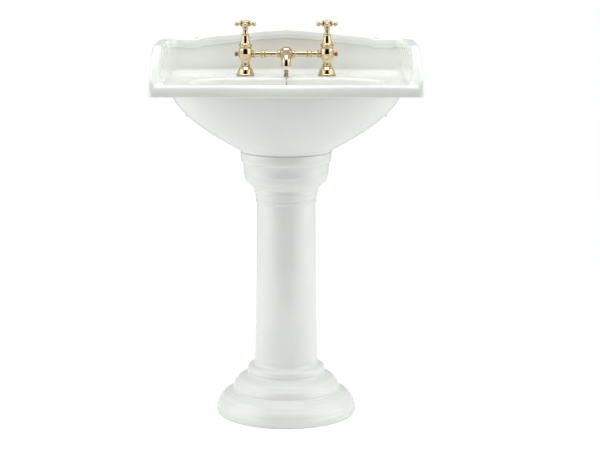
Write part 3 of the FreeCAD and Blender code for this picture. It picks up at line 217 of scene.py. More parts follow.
def glazed_china(name, first="#F1F3F0", second="#F5F6F3"):
    """Fired vitreous china under a thick clear glaze: white, glossy, very slightly uneven."""
    drift_size, flow_size = 143.0, 26.3
    material, tree, shader, place = new_material(name)
    shader.inputs["IOR"].default_value = 1.52
    shader.inputs["Coat Weight"].default_value = 0.35
    shader.inputs["Coat Roughness"].default_value = 0.03
    # the fired body's tone drifts over a hand's width
    drift = add_node(tree, "ShaderNodeTexNoise", {"Scale": per_metre(drift_size), "Detail": 2.0},
                     Vector=place)
    two_tone(tree, shader, drift.outputs["Fac"], 0.35, 0.65, first, second)
    # the glaze ran a little before it set, in waves about an inch long
    flow = add_node(tree, "ShaderNodeTexNoise", {"Scale": per_metre(flow_size), "Detail": 1.0},
                    Vector=place)
    uneven_gloss(tree, shader, flow.outputs["Fac"], 0.10, 0.16)
    relief(tree, shader, flow.outputs["Fac"], 0.05, 0.6)
    return material


def polished_metal(name, first, second, gloss_low, gloss_high, mark_size=4.545):
    """Cast and turned metal, buffed: wipe marks a few millimetres across change its gloss."""
    material, tree, shader, place = new_material(name)
    shader.inputs["Metallic"].default_value = 1.0
    marks = add_node(tree, "ShaderNodeTexNoise", {"Scale": per_metre(mark_size), "Detail": 4.0},
                     Vector=place)
    two_tone(tree, shader, marks.outputs["Fac"], 0.3, 0.7, first, second)
    uneven_gloss(tree, shader, marks.outputs["Fac"], gloss_low, gloss_high)
    relief(tree, shader, marks.outputs["Fac"], 0.04, 0.2)
    return material


def moulded(name, first, second, rough):
    """Rubber or bedding: matt, with a mould grain drawn coarser than the real one, so that it shows."""
    grain_size = 2.5
    material, tree, shader, place = new_material(name)
    grains = add_node(tree, "ShaderNodeTexNoise", {"Scale": per_metre(grain_size), "Detail": 3.0},
                      Vector=place)
    two_tone(tree, shader, grains.outputs["Fac"], 0.3, 0.7, first, second)
    shader.inputs["Roughness"].default_value = rough
    relief(tree, shader, grains.outputs["Fac"], 0.1, 0.3)
    return material


CHINA = glazed_china("glazed_vitreous_china")
INDEX_GLAZE = glazed_china("index_button_porcelain", "#F3EBDD", "#F8F2E8")
BRASS = polished_metal("polished_brass", "#E2D3B6", "#C4AC82", 0.03, 0.07)
DEEP_BRASS = polished_metal("lacquered_red_brass", "#A9865A", "#8A6640", 0.1, 0.18)
NICKEL = polished_metal("nickel_plated_chain", "#B9AF98", "#938872", 0.16, 0.26, mark_size=2.0)
CHROME = polished_metal("chromium_plate", "#E9ECEE", "#D6DADC", 0.05, 0.1)
RUBBER = moulded("black_rubber", "#1D1D1C", "#2A2A28", 0.55)
WHITE_SEAL = moulded("white_silicone_bedding", "#E6E6E0", "#D9D9D2", 0.45)


# ---------------------------------------------------------------- basin

CORNER_COLUMNS = 7
FRONT_COLUMNS = 72
SIDE_COLUMNS = 104
BACK_COLUMNS = 84
BOWL_ROWS = 37

# plans, each as half its width, its front, its back and the radius of its corners
GALLERY_INSIDE = (HALF_WIDTH - 24.5, FRONT + 22.0, WALL_FACE - 45.0, 22.0)
GALLERY_OUTSIDE = (HALF_WIDTH - 3.0, FRONT + 6.0, WALL_FACE, 12.0)
RIM_EDGE = (HALF_WIDTH, FRONT, WALL_FACE, 11.0)

BOWL_CENTRE = np.array([0.0, -75.0])
BOWL_HALF_WIDTH = 238.0
BOWL_AHEAD = 130.0
BOWL_BEHIND = 163.0
LIP_RADIUS = 8.0
# 2 is an ellipse, and a higher power is squarer
AHEAD_POWER = 2.3
BEHIND_POWER = 4.0
BOWL_FLOOR_POWER = 3.2
BOWL_SIDE_POWER = 1.6

# height of the crowned back at places out from its middle
CROWN_X = [0, 67, 117, 145, 195, 222, 229, 236, 290, 320]
CROWN_Z = [943, 939, 934.5, 930.5, 926.5, 924, 921.5, 917.5, 919, 920]
WING_TOP = 929.0
WING_FALL = 9.0
WING_CURVE_BACK = -112.0
WING_CURVE_LENGTH = 122.0
WING_CURVE_POWER = 1.5
# y over which a wing falls towards the wall, and x over which the crown meets the wings
WING_FALL_SPAN = (60, 190)
CROWN_END_SPAN = (284, 292)

# raised border of the gallery's wall: drop from the top edge, and how far it stands proud
BORDER = [(24.5, 0), (23.8, 0.9), (22.4, 2.0), (20.6, 2.7), (18.6, 2.6), (17.0, 1.7),
          (15.8, 1.5), (14.6, 2.2), (11.0, 1.4), (7.4, 0.4)]
BORDER_ROW_GAP = 0.06
PANEL_ROWS = 5
STEEPEST_TOP = 1.4
TOP_ROLL = 6.0

# coves at the foot of the low rim and of the gallery's wall
RIM_COVE = 11.0
WALL_COVE = 17.0
# wall heights over which the cove widens, and over which the border comes to stand proud
COVE_SPAN = (0, 30)
RAISED_SPAN = (8, 45)
# top land: how far it is level, and its slope past that
LEVEL_LAND = 22.0
LAND_SLOPE = 0.22
RIM_ROLL_REACH = 14.0
RIM_ROLL_DROP = 21.0
GALLERY_ROLL = 8.0

BULGE_HEAD = 841.0
BULGE_FOOT = 826.0
SKIRT_CENTRE = -26.0
SKIRT_HALF_WIDTH = 282.0
SKIRT_HALF_DEPTH = 192.0
SKIRT_HEAD = 822.0
SKIRT_ROWS = 34
SKIRT_POWER = 1.72
SKIRT_FULLNESS = 1.03
SEAT_WALL = 11.0
BOSS_RADII = (60.0, 40.0)

SERVICE_SPACE = ((-238, 100, 600), (238, 235, 820.6))
OVERFLOW_SLOT = ((-25.5, 70, 805), (25.5, 103, 813.5))

APRON_HALF_WIDTH = 250.0
APRON_ENDS = 12.0
APRON_BACK = 15.0
APRON_FRONT = 99.0
APRON_LEVELS = (734.0, 821.0)
BOLT_OFFSET = 140
BOLT_LEVEL = 775.0
BOLT_HOLE_RADIUS = 6.5
BOLT_DRILL_LENGTH = 40.0


def rounded_loop(half, front, back, radius):
    """A rounded rectangle with the same number of points on each side whatever its size."""
    def side(start, end, shares):
        return [(start[0] + (end[0] - start[0]) * s, start[1] + (end[1] - start[1]) * s)
                for s in shares]

    def corner(centre, first_angle):
        angles = first_angle + (np.arange(CORNER_COLUMNS) + 0.5) / CORNER_COLUMNS * QUARTER_TURN
        return [(centre[0] + radius * math.cos(a), centre[1] + radius * math.sin(a)) for a in angles]

    # the wing fronts curve, so their share of each side holds more points
    along = np.linspace(0, 1, SIDE_COLUMNS)
    crowded = along ** 1.6 * 0.75 + along * 0.25
    even_front = np.linspace(0, 1, FRONT_COLUMNS)
    even_back = np.linspace(0, 1, BACK_COLUMNS)
    low, high = front + radius, back - radius
    width = half - radius
    points = side((-width, front), (width, front), even_front)
    points += corner((width, low), -QUARTER_TURN)
    points += side((half, low), (half, high), crowded)
    points += corner((width, high), 0)
    points += side((width, back), (-width, back), even_back)
    points += corner((-width, high), QUARTER_TURN)
    points += side((-half, high), (-half, low), 1 - crowded[::-1])
    points += corner((-width, low), math.pi)
    return np.array(points)


def gallery_top(points):
    """Height of the top edge round the basin: low front rim, curved wings, crowned back."""
    x, y = np.abs(points[:, 0]), points[:, 1]
    # five readings a little apart soften the crown's corners
    crown = sum(np.interp(x + shift, CROWN_X, CROWN_Z) for shift in (-4, -2, 0, 2, 4)) / 5
    middle = np.where(y > 0, crown, RIM_TOP)
    climb = np.clip((WING_CURVE_BACK - y) / WING_CURVE_LENGTH, 0, 1)
    wing = RIM_TOP + (WING_TOP - RIM_TOP) * (1 - climb ** WING_CURVE_POWER) ** (1 / WING_CURVE_POWER)
    wing = wing - WING_FALL * smoothstep(y, *WING_FALL_SPAN)
    share = smoothstep(x, *CROWN_END_SPAN)
    return middle + (wing - middle) * share


def bowl_mouth(angles):
    """Reach of the bowl's mouth from its centre: rounder in front, squarer behind."""
    ahead = np.sin(angles) < 0
    length = np.where(ahead, BOWL_AHEAD, BOWL_BEHIND)
    power = np.where(ahead, AHEAD_POWER, BEHIND_POWER)
    across = np.abs(np.cos(angles) / BOWL_HALF_WIDTH) ** power
    along = np.abs(np.sin(angles) / length) ** power
    return (across + along) ** (-1 / power)


class BasinShell:
    """Rings of points from the waste hole up the bowl, over deck, gallery and rim, to the seat."""

    def __init__(self):
        self.rings = []
        self.inner = rounded_loop(*GALLERY_INSIDE)
        self.outer = rounded_loop(*GALLERY_OUTSIDE)
        self.edge = rounded_loop(*RIM_EDGE)
        self.top = gallery_top((self.inner + self.outer) / 2)
        angles = np.arctan2(self.inner[:, 1] - BOWL_CENTRE[1], self.inner[:, 0])
        self.spokes = np.column_stack([np.cos(angles), np.sin(angles)])
        self.reach = bowl_mouth(angles)[:, None]
        across = self.outer - self.inner
        self.thick = np.linalg.norm(across, axis=1)
        self.outwards = across / self.thick[:, None]
        # the low front rim has a tighter cove and no raised border
        wall_height = self.top - RIM_TOP
        self.cove = RIM_COVE + (WALL_COVE - RIM_COVE) * smoothstep(wall_height, *COVE_SPAN)
        self.raised = smoothstep(wall_height, *RAISED_SPAN)
        self.bowl()
        self.deck()
        self.gallery_wall()
        self.rim()
        self.skirt()
        self.seat()

    def ring(self, plan, level):
        self.rings.append(np.column_stack([plan, np.broadcast_to(level, len(plan))]))

    def moved_out(self, plan, distance):
        """The plan moved out across the gallery's wall by one distance, or by one for each point."""
        return plan + self.outwards * np.broadcast_to(distance, len(plan))[:, None]

    def bowl(self):
        """Waste hole, flat recess for the waste's flange, and the bowl up to its rolled lip."""
        for radius, level in ((WASTE_HOLE_RADIUS, BOSS_UNDERSIDE), (WASTE_HOLE_RADIUS, BOWL_FLOOR - 1),
                              (WASTE_HOLE_RADIUS + 1, BOWL_FLOOR), (RECESS_RADIUS - 1, BOWL_FLOOR)):
            self.ring(WASTE_CENTRE + self.spokes * radius, level)
        mouth = BOWL_CENTRE + self.spokes * (self.reach - LIP_RADIUS)
        foot = WASTE_CENTRE + self.spokes * RECESS_RADIUS
        depth = DECK - LIP_RADIUS - BOWL_FLOOR - 1
        for share in np.sin(quarter(BOWL_ROWS + 1)[1:]):
            level = DECK - LIP_RADIUS - depth * (1 - share ** BOWL_FLOOR_POWER) ** (1 / BOWL_SIDE_POWER)
            self.ring(foot + (mouth - foot) * share, level)
        for turn in quarter(8)[1:]:
            self.ring(BOWL_CENTRE + self.spokes * (self.reach - LIP_RADIUS * math.cos(turn)),
                      DECK - LIP_RADIUS * (1 - math.sin(turn)))

    def deck(self):
        """Flat deck, and the cove that turns up from it into the gallery's wall."""
        lip_edge = BOWL_CENTRE + self.spokes * self.reach
        cove_foot = self.moved_out(self.inner, -self.cove)
        for share in np.linspace(0, 1, 9)[1:]:
            self.ring(lip_edge + (cove_foot - lip_edge) * share, DECK)
        for turn in quarter(9)[1:]:
            self.ring(self.moved_out(self.inner, -self.cove * (1 - math.sin(turn))),
                      DECK + self.cove * (1 - math.cos(turn)))

    def gallery_wall(self):
        """Recessed panel, then the raised border under the rolled top edge."""
        wall_foot = DECK + self.cove
        wall_head = self.top - TOP_ROLL
        # where the top edge slopes, the border's drop is measured square to it
        along = np.maximum(np.linalg.norm(np.gradient(self.inner, axis=0), axis=1), 0.5)
        steepness = np.minimum(np.abs(np.gradient(self.top)) / along, STEEPEST_TOP)
        slant = np.sqrt(1 + steepness ** 2)
        blur = np.hanning(15) / np.hanning(15).sum()
        slant = np.convolve(np.r_[slant[-7:], slant, slant[:7]], blur, "valid")
        panel_head = np.clip(self.top - BORDER[0][0] * slant, wall_foot + 0.1, wall_head - 0.9)
        for share in np.linspace(0, 1, PANEL_ROWS + 2)[1:-1]:
            self.ring(self.inner, wall_foot + (panel_head - wall_foot) * share)
        for step, (drop, proud) in enumerate(BORDER):
            lowest = panel_head + BORDER_ROW_GAP * step
            highest = wall_head - BORDER_ROW_GAP * (len(BORDER) - step)
            level = np.clip(self.top - drop * slant, lowest, highest)
            self.ring(self.moved_out(self.inner, -proud * self.raised), level)
        for turn in quarter(8):
            self.ring(self.moved_out(self.inner, TOP_ROLL * (1 - math.cos(turn))),
                      wall_head + TOP_ROLL * math.sin(turn))

    def rim(self):
        """Top land falling gently from the crest, outer roll, outer face and the bulge at its foot."""
        crest_fall = LAND_SLOPE * np.maximum(self.thick - LEVEL_LAND, 0)
        roll_reach = RIM_ROLL_REACH + (GALLERY_ROLL - RIM_ROLL_REACH) * self.raised
        roll_drop = RIM_ROLL_DROP + (GALLERY_ROLL - RIM_ROLL_DROP) * self.raised
        face_line = self.outer + (self.edge - self.outer) * (1 - self.raised)[:, None]
        breadth = np.linalg.norm(face_line - self.inner, axis=1)
        land = np.maximum(breadth - TOP_ROLL - roll_reach, 0.5)
        for share in (0.25, 0.5, 0.75):
            self.ring(self.moved_out(self.inner, TOP_ROLL + land * share),
                      self.top - crest_fall * share ** 1.3)
        for turn in quarter(10):
            self.ring(self.moved_out(face_line, -roll_reach * (1 - math.sin(turn))),
                      self.top - crest_fall - roll_drop * (1 - math.cos(turn)))
        shoulder = self.top - crest_fall - roll_drop
        bulge_head = np.minimum(BULGE_HEAD, shoulder - 0.6)
        bulge_foot = np.minimum(BULGE_FOOT, bulge_head - 0.8)
        for share in (0.3, 0.65):
            self.ring(face_line, shoulder + (bulge_head - shoulder) * share)
        for turn in quarter(9):
            self.ring(face_line + (self.edge - face_line) * math.sin(turn),
                      bulge_head + (bulge_foot - bulge_head) * (1 - math.cos(turn)))
        self.ring(self.edge, RIM_UNDERSIDE + 1.2)
        self.ring(self.moved_out(self.edge + (self.outer - self.edge) * 0.2, -0.5), RIM_UNDERSIDE)

    def oval(self, share, grow=0.0):
        """Plan of the skirt, from its head at 0 to the round seat at 1."""
        turns = np.arctan2((self.edge[:, 1] - SKIRT_CENTRE) / SKIRT_HALF_DEPTH,
                           self.edge[:, 0] / SKIRT_HALF_WIDTH)
        across = SKIRT_HALF_WIDTH - (SKIRT_HALF_WIDTH - SEAT_RADIUS) * share + grow
        along = SKIRT_HALF_DEPTH - (SKIRT_HALF_DEPTH - SEAT_RADIUS) * share + grow
        centre = SKIRT_CENTRE + (WASTE_CENTRE[1] - SKIRT_CENTRE) * share
        return np.column_stack([across * np.cos(turns), centre + along * np.sin(turns)])

    def skirt(self):
        """Flat underside of the rim, then the swelling skirt down to the pedestal."""
        for share in (0.35, 0.7, 1.0):
            self.ring(self.edge + (self.oval(0, 5) - self.edge) * share, RIM_UNDERSIDE)
        self.ring(self.oval(0, 1.5), RIM_UNDERSIDE - 1)
        head = RIM_UNDERSIDE - 3.5
        for level in head - (head - SEAT_LEVEL) * np.linspace(0, 1, SKIRT_ROWS):
            fall = (SKIRT_HEAD - level) / (SKIRT_HEAD - SEAT_LEVEL)
            self.ring(self.oval(min(1.0, SKIRT_FULLNESS * fall ** SKIRT_POWER)), level)

    def seat(self):
        """Inside of the ring that stands on the pedestal, and the boss round the waste hole."""
        self.ring(self.oval(1, -SEAT_WALL), SEAT_LEVEL)
        self.ring(self.oval(1, -SEAT_WALL - 1), BOSS_UNDERSIDE + 1)
        self.ring(WASTE_CENTRE + self.spokes * BOSS_RADII[0], BOSS_UNDERSIDE + 1)
        self.ring(WASTE_CENTRE + self.spokes * BOSS_RADII[1], BOSS_UNDERSIDE)


def block(name, low, high):
    """A cutter from its lowest to its highest corner."""
    shape = bmesh.new()
    bmesh.ops.create_cube(shape, size=1.0)
    for vertex in shape.verts:
        vertex.co = [(a if c < 0 else b) * MM for c, a, b in zip(vertex.co, low, high)]
    return cutter(name, shape)


def drill(name, centre, radius, length):
    """A round cutter along y."""
    shape = bmesh.new()
    bmesh.ops.create_cone(shape, cap_ends=True, segments=48, radius1=radius * MM,
                          radius2=radius * MM, depth=length * MM)
    for vertex in shape.verts:
        x, y, z = vertex.co
        vertex.co = (x + centre[0] * MM, z + centre[1] * MM, -y + centre[2] * MM)
    bmesh.ops.recalc_face_normals(shape, faces=shape.faces)
    return cutter(name, shape)


def cutter(name, shape):
    """An object for carve, from a shape that is then freed."""
    mesh = bpy.data.meshes.new(name)
    shape.to_mesh(mesh)
    shape.free()
    return in_scene(name, mesh)


def carve(piece, cutters):
    """Cut the given shapes out of a china piece, and leave it a plain mesh."""
    for tool in cutters:
        boolean = piece.modifiers.new(tool.name, "BOOLEAN")
        boolean.operation = "DIFFERENCE"
        boolean.solver = "EXACT"
        boolean.object = tool
    whole = piece.data
    piece.data = as_mesh(piece)
    piece.modifiers.clear()
    bpy.data.meshes.remove(whole)
    for tool in cutters:
        bpy.data.meshes.remove(tool.data)
    piece.data.name = piece.name
    smooth(piece.data, CHINA_SHARP)


def basin():
    """Bowl, deck, gallery and skirt in one firing, with the overflow's slot."""
    shell = BasinShell()
    faces = bridged(len(shell.rings), len(shell.inner), closed_rows=True)
    piece = mesh_piece("basin_china", np.vstack(shell.rings), faces, CHINA)
    carve(piece, [block("service_space", *SERVICE_SPACE), block("overflow_slot", *OVERFLOW_SLOT)])
    stand_for(piece, "fixed", "basin")


def apron():
    """The skirt of china behind the bowl that meets the wall, with its two bolt holes."""
    half, inside = APRON_HALF_WIDTH, APRON_HALF_WIDTH - APRON_ENDS
    back = WALL_FACE - APRON_BACK
    out = [(-half, APRON_FRONT), (-half, WALL_FACE), (half, WALL_FACE), (half, APRON_FRONT),
           (inside, APRON_FRONT), (inside, back), (-inside, back), (-inside, APRON_FRONT)]
    points = [(x, y, z) for z in APRON_LEVELS for x, y in out]
    count = len(out)
    faces = [(i, (i + 1) % count, (i + 1) % count + count, i + count) for i in range(count)]
    faces += [tuple(range(count))[::-1], tuple(range(count, 2 * count))]
    piece = mesh_piece("basin_wall_apron", points, faces, CHINA)
    middle = WALL_FACE - APRON_BACK / 2
    carve(piece, [drill(f"bolt_hole_{x}", (x, middle, BOLT_LEVEL), BOLT_HOLE_RADIUS, BOLT_DRILL_LENGTH)
                  for x in (-BOLT_OFFSET, BOLT_OFFSET)])
    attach(piece, "fixed")


# ---------------------------------------------------------------- pedestal

PEDESTAL_OUTLINE = [
    (111.0, 658.0), (112.0, 656.8, 0.4), (111.6, 646.0, -0.04), (109.6, 636.0), (107.6, 632.0, 0.1),
    (106.2, 630.6, -0.3), (104.2, 606.0, -0.06), (101.8, 598.0, 0.12), (92.0, 580.0, 0.22),
    (80.0, 568.4, -0.1), (78.0, 567.4, -0.2), (78.0, 557.0), (76.8, 555.6, 0.3), (75.4, 554.4, -0.3),
    (75.4, 545.6), (74.2, 543.6, -0.3), (73.4, 540.0, -0.2), (74.4, 537.0, 0.4), (74.2, 533.4, 0.4),
    (72.6, 531.0, -0.3), (72.3, 526.0), (72.8, 385.0), (75.3, 257.0), (78.0, 132.0),
    (79.4, 126.6, -0.3), (84.6, 122.0, -0.3), (88.0, 120.6, 0.12), (95.6, 110.4, 0.45),
    (95.4, 103.8, 0.25), (96.2, 100.6, -0.35), (101.0, 96.4, -0.25), (109.0, 92.8, 0.06),
    (123.5, 82.0, 0.26), (131.6, 66.4, 0.2), (131.8, 61.8, 0.15), (133.0, 59.0, -0.35),
    (138.0, 56.0, -0.25), (146.0, 52.6, 0.06), (161.0, 40.8, 0.24), (170.6, 22.0, 0.2),
    (173.0, 10.0, 0.1), (172.0, 1.6, 0.2), (170.0, 0.0, 0.3),
]
PEDESTAL_COLUMNS = 150
PEDESTAL_WALL = 13.0
PEDESTAL_BORE = 66.0
HOLLOW_NECK = 560.0
HOLLOW_FOOT = 150.0
NECK_FLARE = 0.9
FOOT_FLARE = 0.62
HALF_BACK_GAP = 46.0


def arcs(corners, steps=9):
    """Outline points, with an arc into each corner that has a bulge: its height over half its chord."""
    points = [tuple(corners[0][:2])]
    for corner in corners[1:]:
        x0, z0 = points[-1]
        x1, z1 = corner[:2]
        bulge = corner[2] if len(corner) > 2 else 0
        if bulge:
            half = math.atan(bulge)
            for k in range(1, steps):
                share = k / steps
                spread = math.sin(4 * half * share / 2) / math.sin(2 * half)
                tilt = 2 * half * (1 - share)
                dx, dz = x1 - x0, z1 - z0
                along, across = math.cos(tilt) * spread, math.sin(tilt) * spread
                points.append((x0 + dx * along - dz * across, z0 + dz * along + dx * across))
        points.append((x1, z1))
    return points


def hollow_outline(outer):
    """Inside of the pedestal: a straight bore that flares with the head and the foot."""
    wall_line, level = outer[:, 0] - PEDESTAL_WALL, outer[:, 1]
    flare = PEDESTAL_BORE + np.maximum(0, HOLLOW_FOOT - level) * FOOT_FLARE
    flare = np.where(level > HOLLOW_NECK, PEDESTAL_BORE + (level - HOLLOW_NECK) * NECK_FLARE, flare)
    return np.column_stack([np.minimum(wall_line, flare), level])


def open_sheet(outline):
    """The outline turned about the pedestal's axis, apart from the gap down its back."""
    gap = np.arcsin(HALF_BACK_GAP / outline[:, 0])[:, None]
    share = np.linspace(0, 1, PEDESTAL_COLUMNS)[None, :]
    angle = QUARTER_TURN + gap + (FULL_TURN - 2 * gap) * share
    x = WASTE_CENTRE[0] + outline[:, :1] * np.cos(angle)
    y = WASTE_CENTRE[1] + outline[:, :1] * np.sin(angle)
    z = np.broadcast_to(outline[:, 1:], x.shape)
    return np.stack([x, y, z], axis=2).reshape(-1, 3)


def pedestal():
    """Turned column with stepped mouldings at head and foot, open down its back."""
    outer = np.array(arcs(PEDESTAL_OUTLINE))
    rows, columns = len(outer), PEDESTAL_COLUMNS
    shift = rows * columns
    faces = []
    for row in range(rows - 1):
        for column in range(columns - 1):
            a = row * columns + column
            quad = (a, a + 1, a + 1 + columns, a + columns)
            faces.append(quad)
            faces.append(tuple(i + shift for i in quad[::-1]))
        for end in (0, columns - 1):
            a = row * columns + end
            faces.append((a, a + columns, a + columns + shift, a + shift))
    for row in (0, rows - 1):
        for column in range(columns - 1):
            a = row * columns + column
            faces.append((a, a + 1, a + 1 + shift, a + shift))
    sheets = np.vstack([open_sheet(outer), open_sheet(hollow_outline(outer))])
    piece = mesh_piece("pedestal_china", sheets, faces, CHINA)
    stand_for(piece, "fixed", "pedestal")


# ---------------------------------------------------------------- brass

TURNED_SIDES = 56
TURNED_ARC_STEPS = 6
SLIM_SIDES = 40
ARM_SIDES = 32
TAP_AXES = {"hot": -TAP_SPACING / 2, "cold": TAP_SPACING / 2}
TAIL_FOOT = 772.0
BODY_TOP = 907.0
ARM_LEVEL = 960.0
SPOUT_BALL_RADIUS = 19.0
SPOUT_MOUTH = 865.0
SPOUT_BEND_RADIUS = 15.0
SPOUT_BEND_START = 53.0
SPOUT_REACH = SPOUT_BEND_START - SPOUT_BEND_RADIUS
STAY_LINE = 124.0
STAY_FOOT = 806.0


def turned(name, outline, material, centre=(0, 0, 0), axis="z", sides=TURNED_SIDES):
    """A lathe piece from (radius, place along its axis, bulge), where a bulge swells outwards."""
    rising = outline[-1][1] > outline[0][1]
    bulged = [(c[0], c[1], (-c[2] if rising else c[2])) if len(c) > 2 else c for c in outline]
    profile = np.array(arcs(bulged, TURNED_ARC_STEPS))
    angles = np.arange(sides) / sides * FULL_TURN
    radius, along = profile[:, :1], profile[:, 1:]
    across, aside = radius * np.cos(angles), radius * np.sin(angles)
    along = np.broadcast_to(along, across.shape)
    order = {"z": (across, aside, along), "x": (along, across, aside), "-x": (-along, across, aside),
             "y": (across, along, aside), "-y": (across, -along, aside)}[axis]
    points = np.stack(order, axis=2).reshape(-1, 3) + np.array(centre)
    # an outline that starts off the axis is a tube's section, so its last ring meets its first
    faces = bridged(len(profile), sides, closed_rows=profile[0, 0] > 0)
    return mesh_piece(name, points, faces, material, METAL_SHARP)


def joined(name, pieces):
    """One mesh from several closed shapes that pass into each other."""
    shape = bmesh.new()
    for piece in pieces:
        shape.from_mesh(piece.data)
    mesh = pieces[0].data
    shape.to_mesh(mesh)
    shape.free()
    whole = pieces[0]
    whole.name = name
    mesh.name = name
    for spare in pieces[1:]:
        bpy.data.meshes.remove(spare.data)
    smooth(mesh, METAL_SHARP)
    return whole


def screw_thread(radius, depth, head, foot, pitch):
    """Outline of a thread cut as rings, from its head down to its foot."""
    outline = []
    for level in np.arange(head, foot + pitch, -pitch):
        outline += [(radius, level), (radius, level - pitch * 0.25),
                    (radius - depth, level - pitch * 0.6)]
    return outline


def tap_pillar(tag, x):
    """Bell flange, vase-shaped body with its finial, bonnet and gland nut of one pillar."""
    outwards, inwards = ("-x", "x") if x < 0 else ("x", "-x")
    at = (x, TAP_LINE, 0)
    level_with_bridge = (x, TAP_LINE, BRIDGE_LEVEL)
    flange = turned(f"{tag}_bell_flange", [
        (11.0, 854.4), (11.6, 854.4), (12.6, 853.6, 0.3), (13.8, 852.0, 0.15), (17.6, 846.4, 0.08),
        (22.0, 835.4, 0.02), (22.9, 834.4, 0.2), (23.0, 833.0, 0.1), (11.0, 833.0),
    ], BRASS, at)
    stand_for(flange, "fixed", f"{tag}_base_flange")
    vase = turned(f"{tag}_tap_vase", [
        (0, 868), (10.5, 868), (10.5, BODY_TOP), (16.4, BODY_TOP), (17.5, 906.2, 0.35), (17.5, 904.6, 0.2),
        (16.4, 903.4, 0.3), (15.0, 902.2, -0.25), (15.0, 900.0), (16.3, 899.2, 0.3), (18.1, 887.0, 0.03),
        (17.9, 884.6, 0.2), (16.6, 878.8, 0.08), (14.2, 872.8, 0.08), (11.4, 868.2, -0.12),
        (10.1, 863.4, -0.12), (10.6, 859.4, -0.1), (11.8, 858.6, 0.2), (12.3, 857.2, 0.4),
        (11.8, 855.8, 0.4), (10.6, 855.0, -0.1), (10.3, 832.0),
        *screw_thread(10.3, 0.7, 830.0, TAIL_FOOT, 1.8),
        (9.6, TAIL_FOOT), (6.5, TAIL_FOOT), (6.5, 860), (0, 860),
    ], BRASS, at)
    neck = turned(f"{tag}_neck", [
        (0, 11), (7.6, 11), (7.6, 17.2), (9.0, 17.8, 0.3), (9.0, 18.9, 0.3), (0, 19.2),
    ], BRASS, level_with_bridge, inwards)
    boss = turned(f"{tag}_boss", [(0, 12), (6.4, 12), (6.4, 17.4), (5.6, 18.6, 0.3), (0, 18.6)],
                  BRASS, level_with_bridge, outwards)
    stand_for(joined(f"{tag}_tap_vase", [vase, neck, boss]), "fixed", f"{tag}_tap_body")
    finial = turned(f"{tag}_tap_finial", [
        (0, 17), (4.4, 17), (4.4, 19.0), (5.2, 19.4, 0.3), (5.2, 20.4, 0.3), (3.9, 21.0, -0.2),
        (5.0, 21.8, -0.1), (6.0, 23.4, 0.3), (5.2, 25.9, 0.2), (0, 27.0, 0.22),
    ], DEEP_BRASS, level_with_bridge, outwards)
    stand_for(finial, "fixed", f"{tag}_end_finial")
    bonnet = turned(f"{tag}_bell_bonnet", [
        (7.9, 933.8), (9.2, 933.8), (10.0, 933.0, 0.3), (10.2, 931.8, 0.3), (9.6, 930.8, 0.2),
        (10.6, 924.0, -0.02), (11.8, 917.6, -0.04), (13.6, 912.4, -0.08), (16.0, 909.6, -0.16),
        (16.8, 908.8, 0.3), (16.8, 907.8, 0.3), (16.2, 907.2, 0.3), (7.9, 907.2),
    ], BRASS, at)
    stand_for(bonnet, "fixed", f"{tag}_bonnet")
    gland = turned(f"{tag}_gland_sleeve", [
        (4.4, 949.6), (6.3, 949.6), (6.9, 949.0, 0.3), (6.9, 947.8, 0.3), (6.3, 946.8, -0.2),
        (6.1, 941.0, -0.02), (6.6, 937.4, -0.08), (7.2, 936.6, 0.3), (7.2, 935.2, 0.3),
        (6.8, 934.5, 0.3), (4.4, 934.5),
    ], BRASS, at)
    stand_for(gland, "fixed", f"{tag}_gland_nut")


def cross_handle(tag, x):
    """Turned hub with four ball-ended arms and the porcelain button that marks the supply."""
    at = (x, TAP_LINE, 0)
    parts = [turned(f"{tag}_hub", [
        (0, 965.0), (6.3, 965.0), (6.3, 967.8), (7.4, 968.4, 0.3), (10.2, 968.2), (12.0, 967.4, 0.3),
        (12.5, 966.2, 0.4), (11.8, 965.0, 0.3), (10.2, 964.2, -0.1), (9.8, 963.0), (9.8, 955.4),
        (9.0, 953.8, 0.3), (7.0, 952.8, -0.2), (7.4, 951.8, 0.2), (7.8, 951.0, 0.3), (7.6, 950.2, 0.3),
        (7.2, 949.9, 0.2), (0, 949.9),
    ], BRASS, at)]
    arm = [
        (0, 5), (4.6, 5), (4.6, 9.4, -0.1), (5.4, 10.0, 0.3), (6.2, 11.6, 0.3), (5.4, 13.2, 0.3),
        (3.6, 14.0, -0.2), (2.8, 15.6, -0.2), (3.4, 17.2, -0.2), (5.8, 21.4, 0.24), (0, 27.0, 0.41),
    ]
    for way in ("x", "-x", "y", "-y"):
        parts.append(turned(f"{tag}_arm{way}", arm, BRASS, (x, TAP_LINE, ARM_LEVEL), way, ARM_SIDES))
    stand_for(joined(f"{tag}_cross_handle", parts), f"{tag}_handle_body", f"{tag}_handle")
    button = turned(f"{tag}_porcelain_button", [
        (0, 973.8), (3.4, 972.9, 0.1), (5.5, 970.4, 0.16), (6.0, 967.6, 0.1), (6.0, 965.1), (0, 965.1),
    ], INDEX_GLAZE, at)
    stand_for(button, f"{tag}_handle_body", f"{tag}_index_button")


